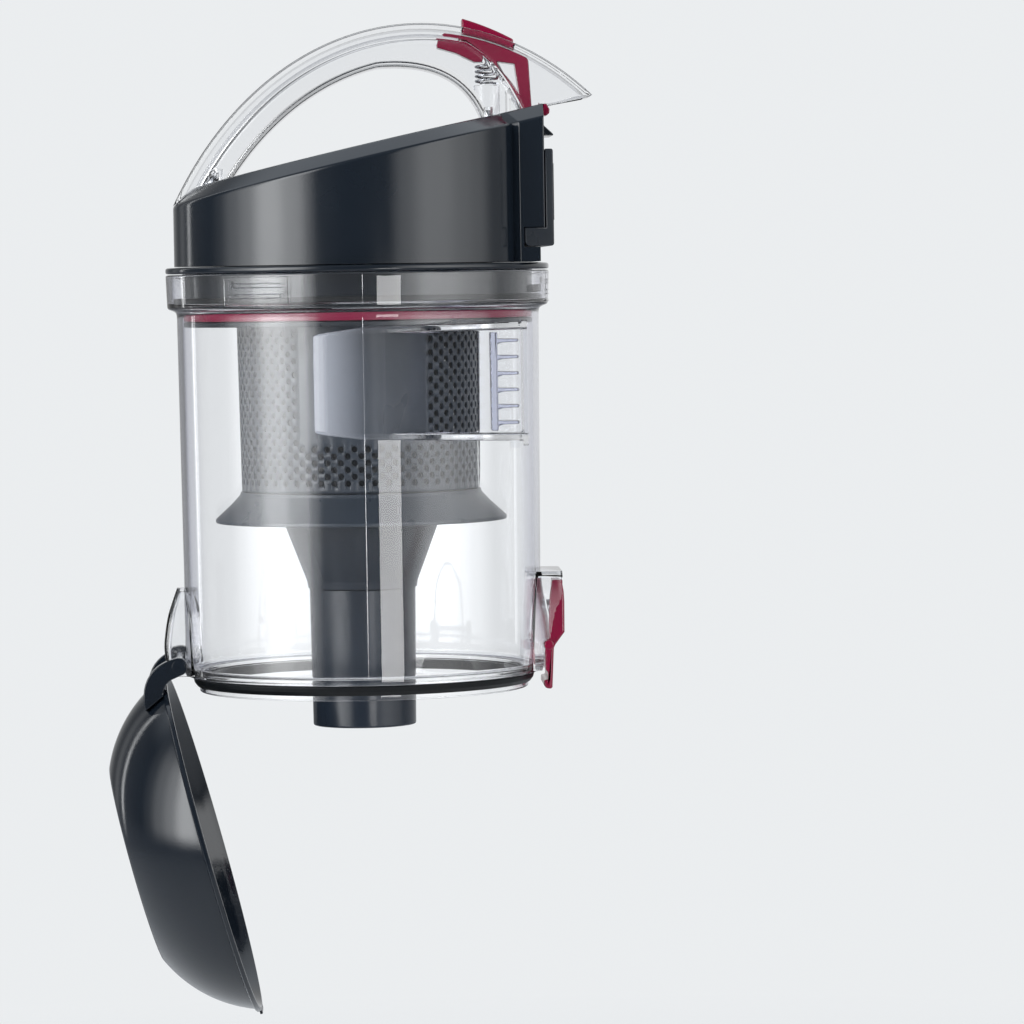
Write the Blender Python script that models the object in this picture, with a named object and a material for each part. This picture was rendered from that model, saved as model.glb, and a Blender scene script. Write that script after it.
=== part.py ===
"""Removable cyclone dust container of a bagless canister vacuum cleaner.

All lengths below are millimetres in the bin's own frame: z = 0 is the bottom rim of the bin, its axis
is Z, and +X is the side that docks against the vacuum cleaner. The finished assembly hangs from an
empty that moves the origin up to the middle of the carrying grip. It is modelled as it is emptied:
held by the handle, with the bottom lid hanging open.
"""
import math

import bmesh
import bpy
from mathutils import Matrix, Vector

MM = 0.001
GAP = 0.3
GRIP_HEIGHT = 250.0

# Dust bin
BIN_WALL = 2.2
BIN_BOTTOM_RADIUS = 71.7
BIN_TOP_RADIUS = 73.0
BIN_TOP = 145.5
COLLAR_RADIUS = 77.0
COLLAR_BOTTOM = 147.0
COLLAR_TOP = 160.6
COLLAR_INNER_RADIUS = 74.8
SPIGOT_RADIUS = 66.3
SPIGOT_BOTTOM = -7.3
LUG_ANGLES = (238.0, 358.0, 118.0)
LUG_SPAN = 18.0

# Tangential inlet duct on the front of the bin
DUCT_FRONT = -74.6
DUCT_BACK = -34.0
DUCT_LEFT = -19.0
DUCT_RIGHT = 65.0
DUCT_BOTTOM = 94.0
DUCT_TOP = 140.4
DUCT_WALL = 2.0

# Bottom lid, its hinge and its latch
PIN_X = -74.1
PIN_Z = 4.6
PIN_RADIUS = 1.4
KNUCKLE_RADIUS = 3.6
LID_OPEN_ANGLE = 75.1
LID_RIM_TOP = -2.4
LID_RADIUS = 71.2
LID_DEPTH = 32.4
LID_FLOOR_RADIUS = 41.0
LID_SIDE_ARC = 55.0
LID_WALL = 2.0
TONGUE_REACH = 72.0
ARM_INNER = 24.2
ARM_OUTER = 30.2
LATCH_X = 74.1
LATCH_Z = 10.3
LATCH_HALF_WIDTH = 15.3
TRUNNION_RADIUS = 1.9

# Cyclone unit
SCREEN_TOP_RADIUS = 49.0
SCREEN_BOTTOM_RADIUS = 48.0
SCREEN_BOTTOM = 73.3
SCREEN_TOP = 141.6
SKIRT_RADIUS = 58.8
SKIRT_BOTTOM = 60.6
CONE_RADIUS = 36.6
CONE_TOP = 124.0
CONE_BOTTOM = 33.5
TUBE_RADIUS = 21.4
TUBE_BOTTOM = -22.2

# Housing
BASE_BOTTOM = 146.2
BASE_TOP = 163.6
HOUSING_RADIUS = 73.7
HOUSING_WALL = 2.4
FLANGE_RADIUS = 77.3
ROOF_AT_AXIS = 209.9
ROOF_SLOPE = math.tan(math.radians(12.55))
CHAMFER_WIDTH = 8.3
CHAMFER_DROP = 5.4
DOCK_FACE = 74.4
DOCK_HALF_WIDTH = 42.0
DOCK_BOTTOM = 177.5
PORT_HALF_WIDTH = 29.0
PORT_BOTTOM = 180.0
PORT_TOP = 203.0

# Handle: its outer edge is part of an ellipse in the XZ plane
HANDLE_CENTRE = (26.0, 108.0)
HANDLE_AXES = (117.0, 152.0)
HANDLE_LEFT_ANGLE = 153.0
HANDLE_TIP_ANGLE = 53.6
HANDLE_HALF_WIDTH = 13.5
HANDLE_SKIN = 2.3
GRIP_DEPTH = 15.5
PARTING_DEPTH = 6.2

# Release button inside the handle
BUTTON_LEFT = 43.6
BUTTON_RIGHT = 64.2
BUTTON_HALF_WIDTH = 7.0
SLIDER_HALF_WIDTH = 6.0
POST_X = 53.4
SCREW_LEFT = -57.5
SPRING_BOTTOM = 235.4
SPRING_TOP = 244.0

FINE = 48
MEDIUM = 36
COARSE = 24

COLOURS = {
    "dark": ((0.035, 0.045, 0.06, 1.0), 0.22, 0.0),
    "clear": ((0.86, 0.88, 0.93, 1.0), 0.05, 0.0),
    "magenta": ((0.55, 0.02, 0.1, 1.0), 0.25, 0.0),
    "grey": ((0.27, 0.3, 0.34, 1.0), 0.4, 0.0),
    "rubber": ((0.02, 0.02, 0.02, 1.0), 0.7, 0.0),
    "steel": ((0.6, 0.6, 0.62, 1.0), 0.3, 1.0),
    "foam": ((0.12, 0.12, 0.13, 1.0), 0.95, 0.0),
    "paper": ((0.85, 0.84, 0.8, 1.0), 0.9, 0.0),
}


# --- Meshes ---------------------------------------------------------------------------------------

def clear_scene():
    for obj in list(bpy.data.objects):
        bpy.data.objects.remove(obj)


def solid(name, bm):
    """A scene object from a bmesh that was built in millimetres."""
    bmesh.ops.recalc_face_normals(bm, faces=bm.faces)
    bmesh.ops.scale(bm, vec=(MM, MM, MM), verts=bm.verts)
    mesh = bpy.data.meshes.new(name)
    bm.to_mesh(mesh)
    bm.free()
    obj = bpy.data.objects.new(name, mesh)
    bpy.context.scene.collection.objects.link(obj)
    return obj


def loft(name, rings):
    """A solid through rings of points, with a flat cap on the first and the last."""
    bm = bmesh.new()
    rows = [[bm.verts.new(point) for point in ring] for ring in rings]
    bm.faces.new(rows[0])
    bm.faces.new(rows[-1])
    count = len(rows[0])
    for lower, upper in zip(rows, rows[1:]):
        for i in range(count):
            j = (i + 1) % count
            bm.faces.new((lower[i], lower[j], upper[j], upper[i]))
    return solid(name, bm)


def box(name, x, y, z):
    ring = [(x[0], y[0]), (x[1], y[0]), (x[1], y[1]), (x[0], y[1])]
    return loft(name, [[(px, py, height) for px, py in ring] for height in z])


def side_prism(name, outline, half_width):
    """An outline of (x, z) points made solid from -half_width to +half_width in Y."""
    return loft(name, [[(x, y, z) for x, z in outline] for y in (-half_width, half_width)])


def plan_prism(name, outline, bottom, top):
    """An outline of (x, y) points made solid from bottom to top."""
    return loft(name, [[(x, y, z) for x, y in outline] for z in (bottom, top)])


def turned(name, profile, steps):
    """A closed outline of (radius, z) points turned round the Z axis."""
    bm = bmesh.new()
    points = [bm.verts.new((radius, 0.0, z)) for radius, z in profile]
    edges = [bm.edges.new((a, b)) for a, b in zip(points, points[1:] + points[:1]) if a.co.x + b.co.x > 0]
    bmesh.ops.spin(bm, geom=points + edges, axis=(0, 0, 1), cent=(0, 0, 0), steps=steps,
                   angle=2 * math.pi, use_merge=True)
    bmesh.ops.remove_doubles(bm, verts=bm.verts, dist=0.001)
    return solid(name, bm)


def rod(name, radius, start, end, steps=24):
    """A round bar between two points."""
    a, b = Vector(start), Vector(end)
    turn = (b - a).to_track_quat("Z", "Y").to_matrix()
    circle = [Vector((radius * math.cos(t), radius * math.sin(t), 0.0))
              for t in (2 * math.pi * i / steps for i in range(steps))]
    return loft(name, [[centre + turn @ point for point in circle] for centre in (a, b)])


def sector(name, radii, z, middle, span):
    """A block of a ring, span degrees wide."""
    steps = 6
    angles = [math.radians(middle + span * (i / steps - 0.5)) for i in range(steps + 1)]
    outline = [(radii[1] * math.cos(a), radii[1] * math.sin(a)) for a in angles]
    outline += [(radii[0] * math.cos(a), radii[0] * math.sin(a)) for a in reversed(angles)]
    return plan_prism(name, outline, *z)


def combine(obj, tool, operation):
    """Apply a Boolean of tool on obj and remove the tool."""
    step = obj.modifiers.new("step", "BOOLEAN")
    step.operation = operation
    step.object = tool
    graph = bpy.context.evaluated_depsgraph_get()
    result = bpy.data.meshes.new_from_object(obj.evaluated_get(graph))
    obj.modifiers.clear()
    obj.data = result
    bpy.data.objects.remove(tool)


def cut(obj, *tools):
    for tool in tools:
        combine(obj, tool, "DIFFERENCE")


def add(obj, *tools):
    for tool in tools:
        combine(obj, tool, "UNION")


# --- Outlines -------------------------------------------------------------------------------------

def polar(radius, degrees):
    return radius * math.cos(math.radians(degrees)), radius * math.sin(math.radians(degrees))


def arc_through(start, end, radius, steps):
    """Points along an arc that bulges to the right of the way from start to end."""
    a, b = Vector(start), Vector(end)
    chord = b - a
    reach = math.sqrt(radius ** 2 - (chord.length / 2) ** 2)
    centre = (a + b) / 2 + Vector((-chord.y, chord.x)).normalized() * reach
    first = math.atan2(a.y - centre.y, a.x - centre.x)
    sweep = 2 * math.asin(chord.length / 2 / radius)
    return [(centre.x + radius * math.cos(first + sweep * i / steps),
             centre.y + radius * math.sin(first + sweep * i / steps)) for i in range(steps + 1)]


def bezier(points, steps):
    """Points along a Bezier curve of any degree, without its first point."""
    curve = []
    for i in range(1, steps + 1):
        row = [Vector(point) for point in points]
        while len(row) > 1:
            row = [a.lerp(b, i / steps) for a, b in zip(row, row[1:])]
        curve.append(tuple(row[0]))
    return curve


def inset(outline, distance):
    """A closed counter-clockwise outline moved inwards along the normals of its corners."""
    moved = []
    for i, point in enumerate(outline):
        before = Vector(outline[i - 1])
        here = Vector(point)
        after = Vector(outline[(i + 1) % len(outline)])
        one = (here - before).normalized()
        two = (after - here).normalized()
        normal = Vector((-one.y - two.y, one.x + two.x)).normalized()
        stretch = max(0.4, normal.dot(Vector((-one.y, one.x))))
        moved.append(tuple(here + normal * distance / stretch))
    return moved


def handle_arc(depth, first, last, steps):
    """Points on the handle's ellipse, depth inside its outer edge, from one angle to another."""
    points = []
    for i in range(steps + 1):
        angle = math.radians(first + (last - first) * i / steps)
        c, s = math.cos(angle), math.sin(angle)
        normal = Vector((c / HANDLE_AXES[0], s / HANDLE_AXES[1])).normalized()
        x = HANDLE_CENTRE[0] + HANDLE_AXES[0] * c - normal.x * depth
        z = HANDLE_CENTRE[1] + HANDLE_AXES[1] * s - normal.y * depth
        points.append((x, z))
    return points


def handle_top(x):
    """Height of the handle's outer edge at x."""
    return HANDLE_CENTRE[1] + HANDLE_AXES[1] * math.sqrt(1 - ((x - HANDLE_CENTRE[0]) / HANDLE_AXES[0]) ** 2)


def roof(x):
    """Height of the slanted roof plane at x."""
    return ROOF_AT_AXIS + ROOF_SLOPE * x


# --- Finishing ------------------------------------------------------------------------------------

def colour(name):
    found = bpy.data.materials.get(name)
    if found:
        return found
    base, roughness, metallic = COLOURS[name]
    made = bpy.data.materials.new(name)
    made.use_nodes = True
    shader = made.node_tree.nodes["Principled BSDF"]
    shader.inputs["Base Color"].default_value = base
    shader.inputs["Roughness"].default_value = roughness
    shader.inputs["Metallic"].default_value = metallic
    return made


def seat(obj, parent, paint, pivot=(0.0, 0.0, 0.0)):
    """Give obj its colour, move its origin to pivot and hang it under parent, whose origin is there too."""
    obj.data.materials.clear()
    obj.data.materials.append(colour(paint).copy())
    obj.data.materials[0].name = obj.name + "_" + paint
    obj.data.transform(Matrix.Translation(-Vector(pivot) * MM))
    obj.data.shade_smooth()
    obj.data.set_sharp_from_angle(angle=math.radians(35))
    obj.parent = parent
    obj.location = (0.0, 0.0, 0.0)
    return obj


def empty(name, parent, position, turn=0.0):
    made = bpy.data.objects.new(name, None)
    bpy.context.scene.collection.objects.link(made)
    made.parent = parent
    made.location = Vector(position) * MM
    made.rotation_euler.y = math.radians(turn)
    return made


# --- Bin ------------------------------------------------------------------------------------------

def pocket(name, side, levels, wall, open_front):
    """A hollow bump on the bin's wall. Levels are (z, reach in X, half width outside, half width at wall)."""
    root = 67.5

    def ring(z, reach, outer, inner, start):
        return [(side * start, -inner, z), (side * reach, -outer, z),
                (side * reach, outer, z), (side * start, inner, z)]

    body = loft(name, [ring(z, reach, outer, inner, root) for z, reach, outer, inner in levels])
    hollow = []
    for z, reach, outer, inner in levels:
        depth = reach + 20.0 if open_front else reach - wall
        hollow.append(ring(z, depth, max(outer - wall, 0.8), max(inner - wall, 0.8), root - 5.0))
    first, last = hollow[0], hollow[-1]
    hollow[0] = [(x, y, z - 5.0) for x, y, z in first]
    hollow[-1] = [(x, y, z - wall) for x, y, z in last]
    if hollow[-2][0][2] >= hollow[-1][0][2]:
        hollow.pop(-2)
    cut(body, loft("hollow", hollow))
    return body


def hinge_pocket():
    levels = [(0.0, 78.0, 19.0, 23.4), (2.2, 78.7, 19.0, 23.0), (7.0, 79.7, 19.0, 21.6),
              (13.5, 80.0, 18.8, 20.0), (23.2, 78.6, 17.0, 18.0), (29.5, 76.7, 11.0, 12.5),
              (34.4, 75.0, 3.5, 4.5)]
    body = pocket("hinge_pocket", -1, levels, 1.8, False)
    cut(body, rod("pin_hole", PIN_RADIUS + GAP, (PIN_X, -40, PIN_Z), (PIN_X, 40, PIN_Z)))
    return body


def latch_guard():
    levels = [(0.2, 76.4, 18.5, 31.0), (2.5, 77.7, 18.5, 29.5), (8.2, 77.8, 18.5, 27.5),
              (13.9, 80.5, 18.5, 26.0), (24.0, 80.8, 18.5, 23.5), (33.0, 80.7, 18.5, 20.5),
              (39.4, 80.3, 17.5, 18.5)]
    body = pocket("latch_guard", 1, levels, 1.8, True)
    cut(body, rod("trunnion_hole", TRUNNION_RADIUS + GAP, (LATCH_X, -40, LATCH_Z), (LATCH_X, 40, LATCH_Z)))
    return body


def bin_shell():
    wall = BIN_WALL
    profile = [
        (SPIGOT_RADIUS, SPIGOT_BOTTOM), (SPIGOT_RADIUS, -1.0), (71.0, -1.0), (BIN_BOTTOM_RADIUS, 0.2),
        (72.1, 43.0), (BIN_TOP_RADIUS, 143.0), (BIN_TOP_RADIUS + 0.2, BIN_TOP),
        (COLLAR_RADIUS - 0.2, COLLAR_BOTTOM), (COLLAR_RADIUS + 0.3, COLLAR_TOP),
        (COLLAR_INNER_RADIUS, COLLAR_TOP), (COLLAR_INNER_RADIUS, COLLAR_BOTTOM + 1.8),
        (BIN_TOP_RADIUS - wall + 0.2, COLLAR_BOTTOM + 1.8), (BIN_TOP_RADIUS - wall, 143.0),
        (72.1 - wall, 43.0), (BIN_BOTTOM_RADIUS - wall, 1.2), (SPIGOT_RADIUS - 2.0, 1.2),
        (SPIGOT_RADIUS - 2.0, SPIGOT_BOTTOM),
    ]
    body = turned("bin_shell", profile, FINE)
    for angle in LUG_ANGLES:
        add(body, sector("ledge", (71.3, COLLAR_INNER_RADIUS + 0.8), (155.6, 158.0), angle, LUG_SPAN))
    add(body, hinge_pocket(), latch_guard())
    cut(body, box("inlet_window", (-15.0, 46.0), (-80.0, -40.0), (DUCT_BOTTOM + 3.0, DUCT_TOP - 3.0)))
    return body


def inlet_duct():
    corner = [(DUCT_LEFT, -66.0), (DUCT_LEFT + 0.3, -69.6), (DUCT_LEFT + 2.2, -72.7),
              (DUCT_LEFT + 5.4, -74.3), (DUCT_LEFT + 10.0, DUCT_FRONT)]
    outline = corner + [(DUCT_RIGHT, DUCT_FRONT), (DUCT_RIGHT, DUCT_BACK), (DUCT_LEFT, DUCT_BACK)]

    def level(points, height, pull):
        middle = (DUCT_BOTTOM + DUCT_TOP) / 2
        half = height / 2
        rows = []
        for side in (-1, 1):
            rows.append([(x, y, middle + side * (half - pull * max(0.0, (10.0 - x) / 29.0)))
                         for x, y in points])
        return rows

    height = DUCT_TOP - DUCT_BOTTOM
    body = loft("inlet_duct", level(outline, height, 4.0))
    inner = inset(outline, DUCT_WALL)
    inner = [(x + 10.0 if x > DUCT_RIGHT - 5.0 else x, y) for x, y in inner]
    flange_y = (DUCT_FRONT - 1.6, DUCT_BACK + 1.6)
    add(body, box("flange", (DUCT_RIGHT - 2.0, DUCT_RIGHT), flange_y, (DUCT_BOTTOM - 1.8, DUCT_TOP + 0.6)))
    cut(body, loft("passage", level(inner, height - 2 * DUCT_WALL, 4.0)))
    cut(body, turned("bin_space", [(0.0, 80.0), (73.5, 80.0), (73.5, 150.0), (0.0, 150.0)], FINE))
    return body


def inlet_comb():
    """Six level slats on an upright bar, just inside the inlet's mouth."""
    low, high = DUCT_BOTTOM + 4.0, DUCT_TOP - 4.0
    body = box("inlet_comb", (51.0, 53.4), (-71.6, -54.0), (low, high))
    pitch = (high - low) / 6
    for i in range(6):
        z = low + pitch * (i + 0.5)
        add(body, box("slat", (52.0, 60.0), (-71.6, -54.0), (z - 0.6, z + 0.6)))
    return body


def bottom_seal():
    return turned("bottom_seal", [(SPIGOT_RADIUS + GAP, -5.1), (67.6, -5.1), (69.0, -1.3),
                                  (SPIGOT_RADIUS + GAP, -1.3)], FINE)


def lid_hinge_pin():
    return rod("lid_hinge_pin", PIN_RADIUS, (PIN_X, -28.4, PIN_Z), (PIN_X, 28.4, PIN_Z))


def coil(name, radius, wire, turns, steps_per_turn, height):
    """A helical spring that stands on z = 0."""
    curve = bpy.data.curves.new(name, "CURVE")
    curve.dimensions = "3D"
    spline = curve.splines.new("POLY")
    count = turns * steps_per_turn + 1
    spline.points.add(count - 1)
    for i in range(count):
        x, y = polar(radius, 360.0 * i / steps_per_turn)
        z = wire + (height - 2 * wire) * i / (count - 1)
        spline.points[i].co = (x * MM, y * MM, z * MM, 1.0)
    curve.bevel_depth = wire * MM
    curve.bevel_resolution = 1
    curve.use_fill_caps = True
    helper = bpy.data.objects.new(name + "_path", curve)
    bpy.context.scene.collection.objects.link(helper)
    graph = bpy.context.evaluated_depsgraph_get()
    mesh = bpy.data.meshes.new_from_object(helper.evaluated_get(graph))
    bpy.data.objects.remove(helper)
    bm = bmesh.new()
    bm.from_mesh(mesh)
    bmesh.ops.remove_doubles(bm, verts=bm.verts, dist=0.000001)
    bmesh.ops.scale(bm, vec=(1 / MM, 1 / MM, 1 / MM), verts=bm.verts)
    return solid(name, bm)


def latch_spring():
    """A short coil between the bin's wall and the upper half of the latch lever."""
    spring = coil("latch_spring", 3.0, 0.25, 2, 12, 1.9)
    spring.data.transform(Matrix.Rotation(math.radians(90), 4, "Y"))
    spring.data.transform(Matrix.Translation(Vector((72.6, 0.0, 24.4)) * MM))
    return spring


def latch_lever():
    outline = [
        (80.0, 35.8), (80.8, 31.0), (81.0, 26.8), (80.9, 14.7), (77.2, 9.8), (76.5, 8.4), (75.7, -7.6),
        (75.0, -8.2), (73.2, -7.9), (72.3, -6.8), (72.3, -4.5), (74.0, -4.5), (74.0, -1.6), (73.0, -0.4),
        (72.9, 6.5), (73.1, 12.0), (74.6, 19.0), (75.4, 29.5), (76.7, 35.8),
    ]
    body = side_prism("latch_lever", outline, LATCH_HALF_WIDTH)
    reach = 24.6
    add(body, rod("trunnion", TRUNNION_RADIUS, (LATCH_X, -reach, LATCH_Z), (LATCH_X, reach, LATCH_Z)))
    return body


# --- Lid, in its closed position ------------------------------------------------------------------

def bottom_lid():
    floor = LID_RIM_TOP - LID_DEPTH
    shoulder = LID_RIM_TOP - 2.6
    side = arc_through((LID_FLOOR_RADIUS, floor), (LID_RADIUS - 1.2, shoulder), LID_SIDE_ARC, 6)
    outer = [(0.0, floor)] + side + [(LID_RADIUS - 0.8, LID_RIM_TOP - 1.7),
                                     (LID_RADIUS, LID_RIM_TOP - 1.5), (LID_RADIUS, LID_RIM_TOP)]
    inner_side = arc_through((LID_FLOOR_RADIUS - 0.6, floor + LID_WALL),
                             (LID_RADIUS - 2.9, shoulder + 0.2), LID_SIDE_ARC, 6)
    inner = [(LID_RADIUS - 1.6, LID_RIM_TOP)] + inner_side[::-1] + [(0.0, floor + LID_WALL)]
    body = turned("bottom_lid", outer + inner, FINE)
    add(body, box("latch_tongue", (LID_RADIUS - 1.3, TONGUE_REACH), (-8.0, 8.0), (LID_RIM_TOP - 1.1, LID_RIM_TOP)))
    for side_sign in (-1, 1):
        arm = hinge_arm()
        arm.data.transform(Matrix.Translation((0.0, side_sign * (ARM_INNER + ARM_OUTER) / 2 * MM, 0.0)))
        add(body, arm)
    cut(body, rod("pin_bore", PIN_RADIUS + GAP, (PIN_X, -28.8, PIN_Z), (PIN_X, 28.8, PIN_Z)))
    return body


def hinge_arm():
    """A C-shaped arm from the hinge pin down and round to the lid's side."""
    knuckle = [(PIN_X + x, PIN_Z + z) for x, z in (polar(KNUCKLE_RADIUS, a) for a in range(0, 181, 20))]
    outside = bezier([(PIN_X - 3.6, PIN_Z), (PIN_X - 3.9, PIN_Z - 9.0), (PIN_X + 0.5, PIN_Z - 17.0),
                      (PIN_X + 13.4, PIN_Z - 17.6)], 6)
    inside = bezier([(PIN_X + 9.6, PIN_Z - 8.9), (PIN_X + 5.6, PIN_Z - 8.4), (PIN_X + 4.2, PIN_Z - 4.0)], 4)
    outline = knuckle + outside + [(PIN_X + 9.6, PIN_Z - 8.9)] + inside
    return side_prism("hinge_arm", outline, (ARM_OUTER - ARM_INNER) / 2)


def tube_pad():
    """Rubber pad on the lid's floor that closes the end of the fine-dust tube."""
    low = LID_RIM_TOP - LID_DEPTH + LID_WALL + GAP
    top = TUBE_BOTTOM - 0.4
    profile = [(0.0, low), (25.0, low), (24.0, top - 2.0), (23.2, top), (0.0, top)]
    return turned("tube_pad", profile, COARSE)


# --- Cyclone unit ---------------------------------------------------------------------------------

def mesh_screen():
    wall = 1.6
    profile = [(SCREEN_BOTTOM_RADIUS, SCREEN_BOTTOM), (SCREEN_TOP_RADIUS, 139.8), (61.0, 139.8),
               (61.0, SCREEN_TOP), (SCREEN_TOP_RADIUS - wall, SCREEN_TOP),
               (SCREEN_BOTTOM_RADIUS - wall, SCREEN_BOTTOM)]
    return turned("mesh_screen", profile, MEDIUM)


def dust_skirt():
    profile = [(SKIRT_RADIUS, SKIRT_BOTTOM), (SKIRT_RADIUS, SKIRT_BOTTOM + 1.4), (48.4, 73.0),
               (37.4, 73.0), (37.4, 71.2), (47.6, 71.2), (57.2, SKIRT_BOTTOM)]
    return turned("dust_skirt", profile, MEDIUM)


def cyclone_cone():
    wall = 1.8
    throat = TUBE_RADIUS + 0.7
    profile = [(throat, CONE_BOTTOM), (CONE_RADIUS, 73.4), (CONE_RADIUS, CONE_TOP),
               (CONE_RADIUS - wall, CONE_TOP), (CONE_RADIUS - wall, 73.9), (throat - wall, CONE_BOTTOM)]
    return turned("cyclone_cone", profile, MEDIUM)


def dust_tube():
    profile = [(TUBE_RADIUS - 1.9, CONE_BOTTOM - GAP), (TUBE_RADIUS - 2.3, TUBE_BOTTOM),
               (TUBE_RADIUS - 1.2, TUBE_BOTTOM), (TUBE_RADIUS - 0.6, TUBE_BOTTOM + 0.8),
               (TUBE_RADIUS, CONE_BOTTOM - GAP)]
    return turned("dust_tube", profile, MEDIUM)


def vortex_cap():
    """Cap over the cone, with the vortex finder's tube and the guide vanes that spin the air."""
    tube, bore = 15.0, 13.2
    under, top = 135.4, 138.4
    profile = [(bore, 92.0), (tube, 92.0), (tube, under), (46.6, under), (46.6, top), (bore, top)]
    body = turned("vortex_cap", profile, MEDIUM)
    for i in range(8):
        vane = box("vane", (20.0, 35.0), (-0.7, 0.7), (CONE_TOP + GAP, under + 1.0))
        swing = Matrix.Rotation(math.radians(45 * i), 4, "Z") @ Matrix.Translation((0.0, 0.009, 0.0))
        vane.data.transform(swing)
        add(body, vane)
    return body


def ring_part(name, inner, outer, bottom, top, steps=FINE):
    return turned(name, [(inner, bottom), (outer, bottom), (outer, top), (inner, top)], steps)


# --- Housing --------------------------------------------------------------------------------------

def housing_base():
    inner, outer = 68.3, 70.5
    profile = [(50.0, BASE_BOTTOM), (outer, BASE_BOTTOM), (outer, 161.0), (FLANGE_RADIUS, 161.0),
               (FLANGE_RADIUS, BASE_TOP), (inner, BASE_TOP), (inner, 148.4), (50.0, 148.4)]
    body = turned("housing_base", profile, FINE)
    for angle in LUG_ANGLES:
        add(body, sector("lug", (69.5, 74.2), (152.2, 155.2), angle, LUG_SPAN))
    return body


def footprint(radius, half_width, face, steps=38):
    """The housing's plan: a circle with a flat-faced docking block at +X."""
    edge = math.degrees(math.asin(half_width / radius))
    outline = [polar(radius, edge + (360 - 2 * edge) * i / steps) for i in range(steps + 1)]
    return outline + [(face, -half_width), (face, half_width)]


def roofed(name, margin, bottom, lift):
    """The housing's closed outer form, drawn in by margin, with its roof raised by lift."""
    plan = footprint(HOUSING_RADIUS - margin, DOCK_HALF_WIDTH - margin, DOCK_FACE - margin)
    crown = inset(plan, CHAMFER_WIDTH)
    crown[-2] = (DOCK_FACE - margin, crown[-2][1])
    crown[-1] = (DOCK_FACE - margin, crown[-1][1])
    return loft(name, [
        [(x, y, bottom) for x, y in plan],
        [(x, y, roof(x) - CHAMFER_DROP + lift) for x, y in plan],
        [(x, y, roof(x) + lift) for x, y in crown],
    ])


def housing_cover():
    body = roofed("housing_cover", 0.0, BASE_TOP + GAP, 0.0)
    cut(body, roofed("chamber", HOUSING_WALL, BASE_TOP - 5.0, -HOUSING_WALL))
    for x in (SCREW_LEFT, POST_X):
        add(body, rod("screw_boss", 4.4, (x, 0, roof(x) - 5.4), (x, 0, roof(x) - 1.2)))
    add(body, box("slider_well", (61.4, DOCK_FACE - 1.0), (-8.6, 8.6), (217.0, 223.5)))
    catch = [(DOCK_FACE - 1.0, 214.2), (DOCK_FACE + 4.9, 214.2), (DOCK_FACE + 4.9, 214.8),
             (DOCK_FACE, 219.4), (DOCK_FACE - 1.0, 219.4)]
    add(body, side_prism("upper_catch", catch, 16.0))
    wide = (-60.0, 60.0)
    cut(body, box("step", (72.4, 90.0), wide, (150.0, DOCK_BOTTOM)))
    cut(body, box("frame_seat", (66.0, 90.0), wide, (169.6, DOCK_BOTTOM)))
    cut(body, box("slider_slot", (63.0, 90.0), (-6.8, 6.8), (218.9, 240.0)))
    port = (-PORT_HALF_WIDTH, PORT_HALF_WIDTH)
    cut(body, box("outlet_port", (60.0, 90.0), port, (PORT_BOTTOM, PORT_TOP)))
    for x in (SCREW_LEFT, POST_X):
        cut(body, rod("screw_hole", 1.9, (x, 0, roof(x) - 9.0), (x, 0, roof(x) + 5.0)))
    return body


def docking_frame():
    """Frame round the outlet port, hooked under the docking block."""
    half = DOCK_HALF_WIDTH + 0.3
    face = DOCK_FACE + GAP
    body = box("docking_frame", (face, 77.8), (-half, half), (169.9, 208.3))
    add(body, box("lower_lip", (66.3, 77.0), (-half, half), (169.9, DOCK_BOTTOM - GAP)))
    port = (-PORT_HALF_WIDTH, PORT_HALF_WIDTH)
    cut(body, box("port", (70.0, 90.0), port, (PORT_BOTTOM, PORT_TOP)))
    return body


def frame_ring(name, x, outer, inner):
    """An upright rectangular ring; outer and inner are (half width, bottom, top)."""
    body = box(name, x, (-outer[0], outer[0]), (outer[1], outer[2]))
    cut(body, box("hole", (x[0] - 5, x[1] + 5), (-inner[0], inner[0]), (inner[1], inner[2])))
    return body


def outlet_seal():
    outer = (PORT_HALF_WIDTH - GAP, PORT_BOTTOM + GAP, PORT_TOP - GAP)
    inner = (PORT_HALF_WIDTH - 2.6, PORT_BOTTOM + 2.6, PORT_TOP - 2.6)
    return frame_ring("outlet_seal", (75.0, 78.6), outer, inner)


def outlet_grille():
    outer = (PORT_HALF_WIDTH - GAP, PORT_BOTTOM + GAP, PORT_TOP - GAP)
    inner = (PORT_HALF_WIDTH - 2.0, PORT_BOTTOM + 2.0, PORT_TOP - 2.0)
    x = (72.2, 74.2)
    body = frame_ring("outlet_grille", x, outer, inner)
    for i in range(7):
        y = (i - 3) * 7.0
        add(body, box("bar", (x[0] + 0.4, x[1] - 0.4), (y - 0.7, y + 0.7), (inner[1] - 1, inner[2] + 1)))
    return body


def filter_tray():
    """Perforated plate that carries the motor filters, seated on the housing base."""
    body = turned("filter_tray", [(0.0, 164.0), (70.0, 164.0), (70.0, 166.0), (0.0, 166.0)], FINE)
    for i in range(6):
        outline = [polar(r, 60 * i + a) for r, a in ((12, -22), (62, -24), (62, -8), (62, 8), (62, 24), (12, 22))]
        cut(body, plan_prism("opening", outline, 160.0, 170.0))
    return body


def pleated_filter():
    """A folded paper block, made as one zigzag sheet with thickness."""
    pleats, half, low, high, thick = 12, 42.0, 177.0, 190.0, 1.4
    pitch = 2 * half / pleats
    crest = []
    for i in range(pleats):
        crest += [(-half + pitch * i, low), (-half + pitch * (i + 0.5), high)]
    crest.append((half, low))
    outline = [(x, z) for x, z in crest] + [(x, z + thick * 2) for x, z in reversed(crest)]
    return side_prism("pleated_filter", outline, 40.0)


def filter_frame():
    body = box("filter_frame", (-46.0, 46.0), (-44.0, 44.0), (176.6, 189.0))
    cut(body, box("window", (-42.6, 42.6), (-40.6, 40.6), (170.0, 200.0)))
    return body


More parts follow.
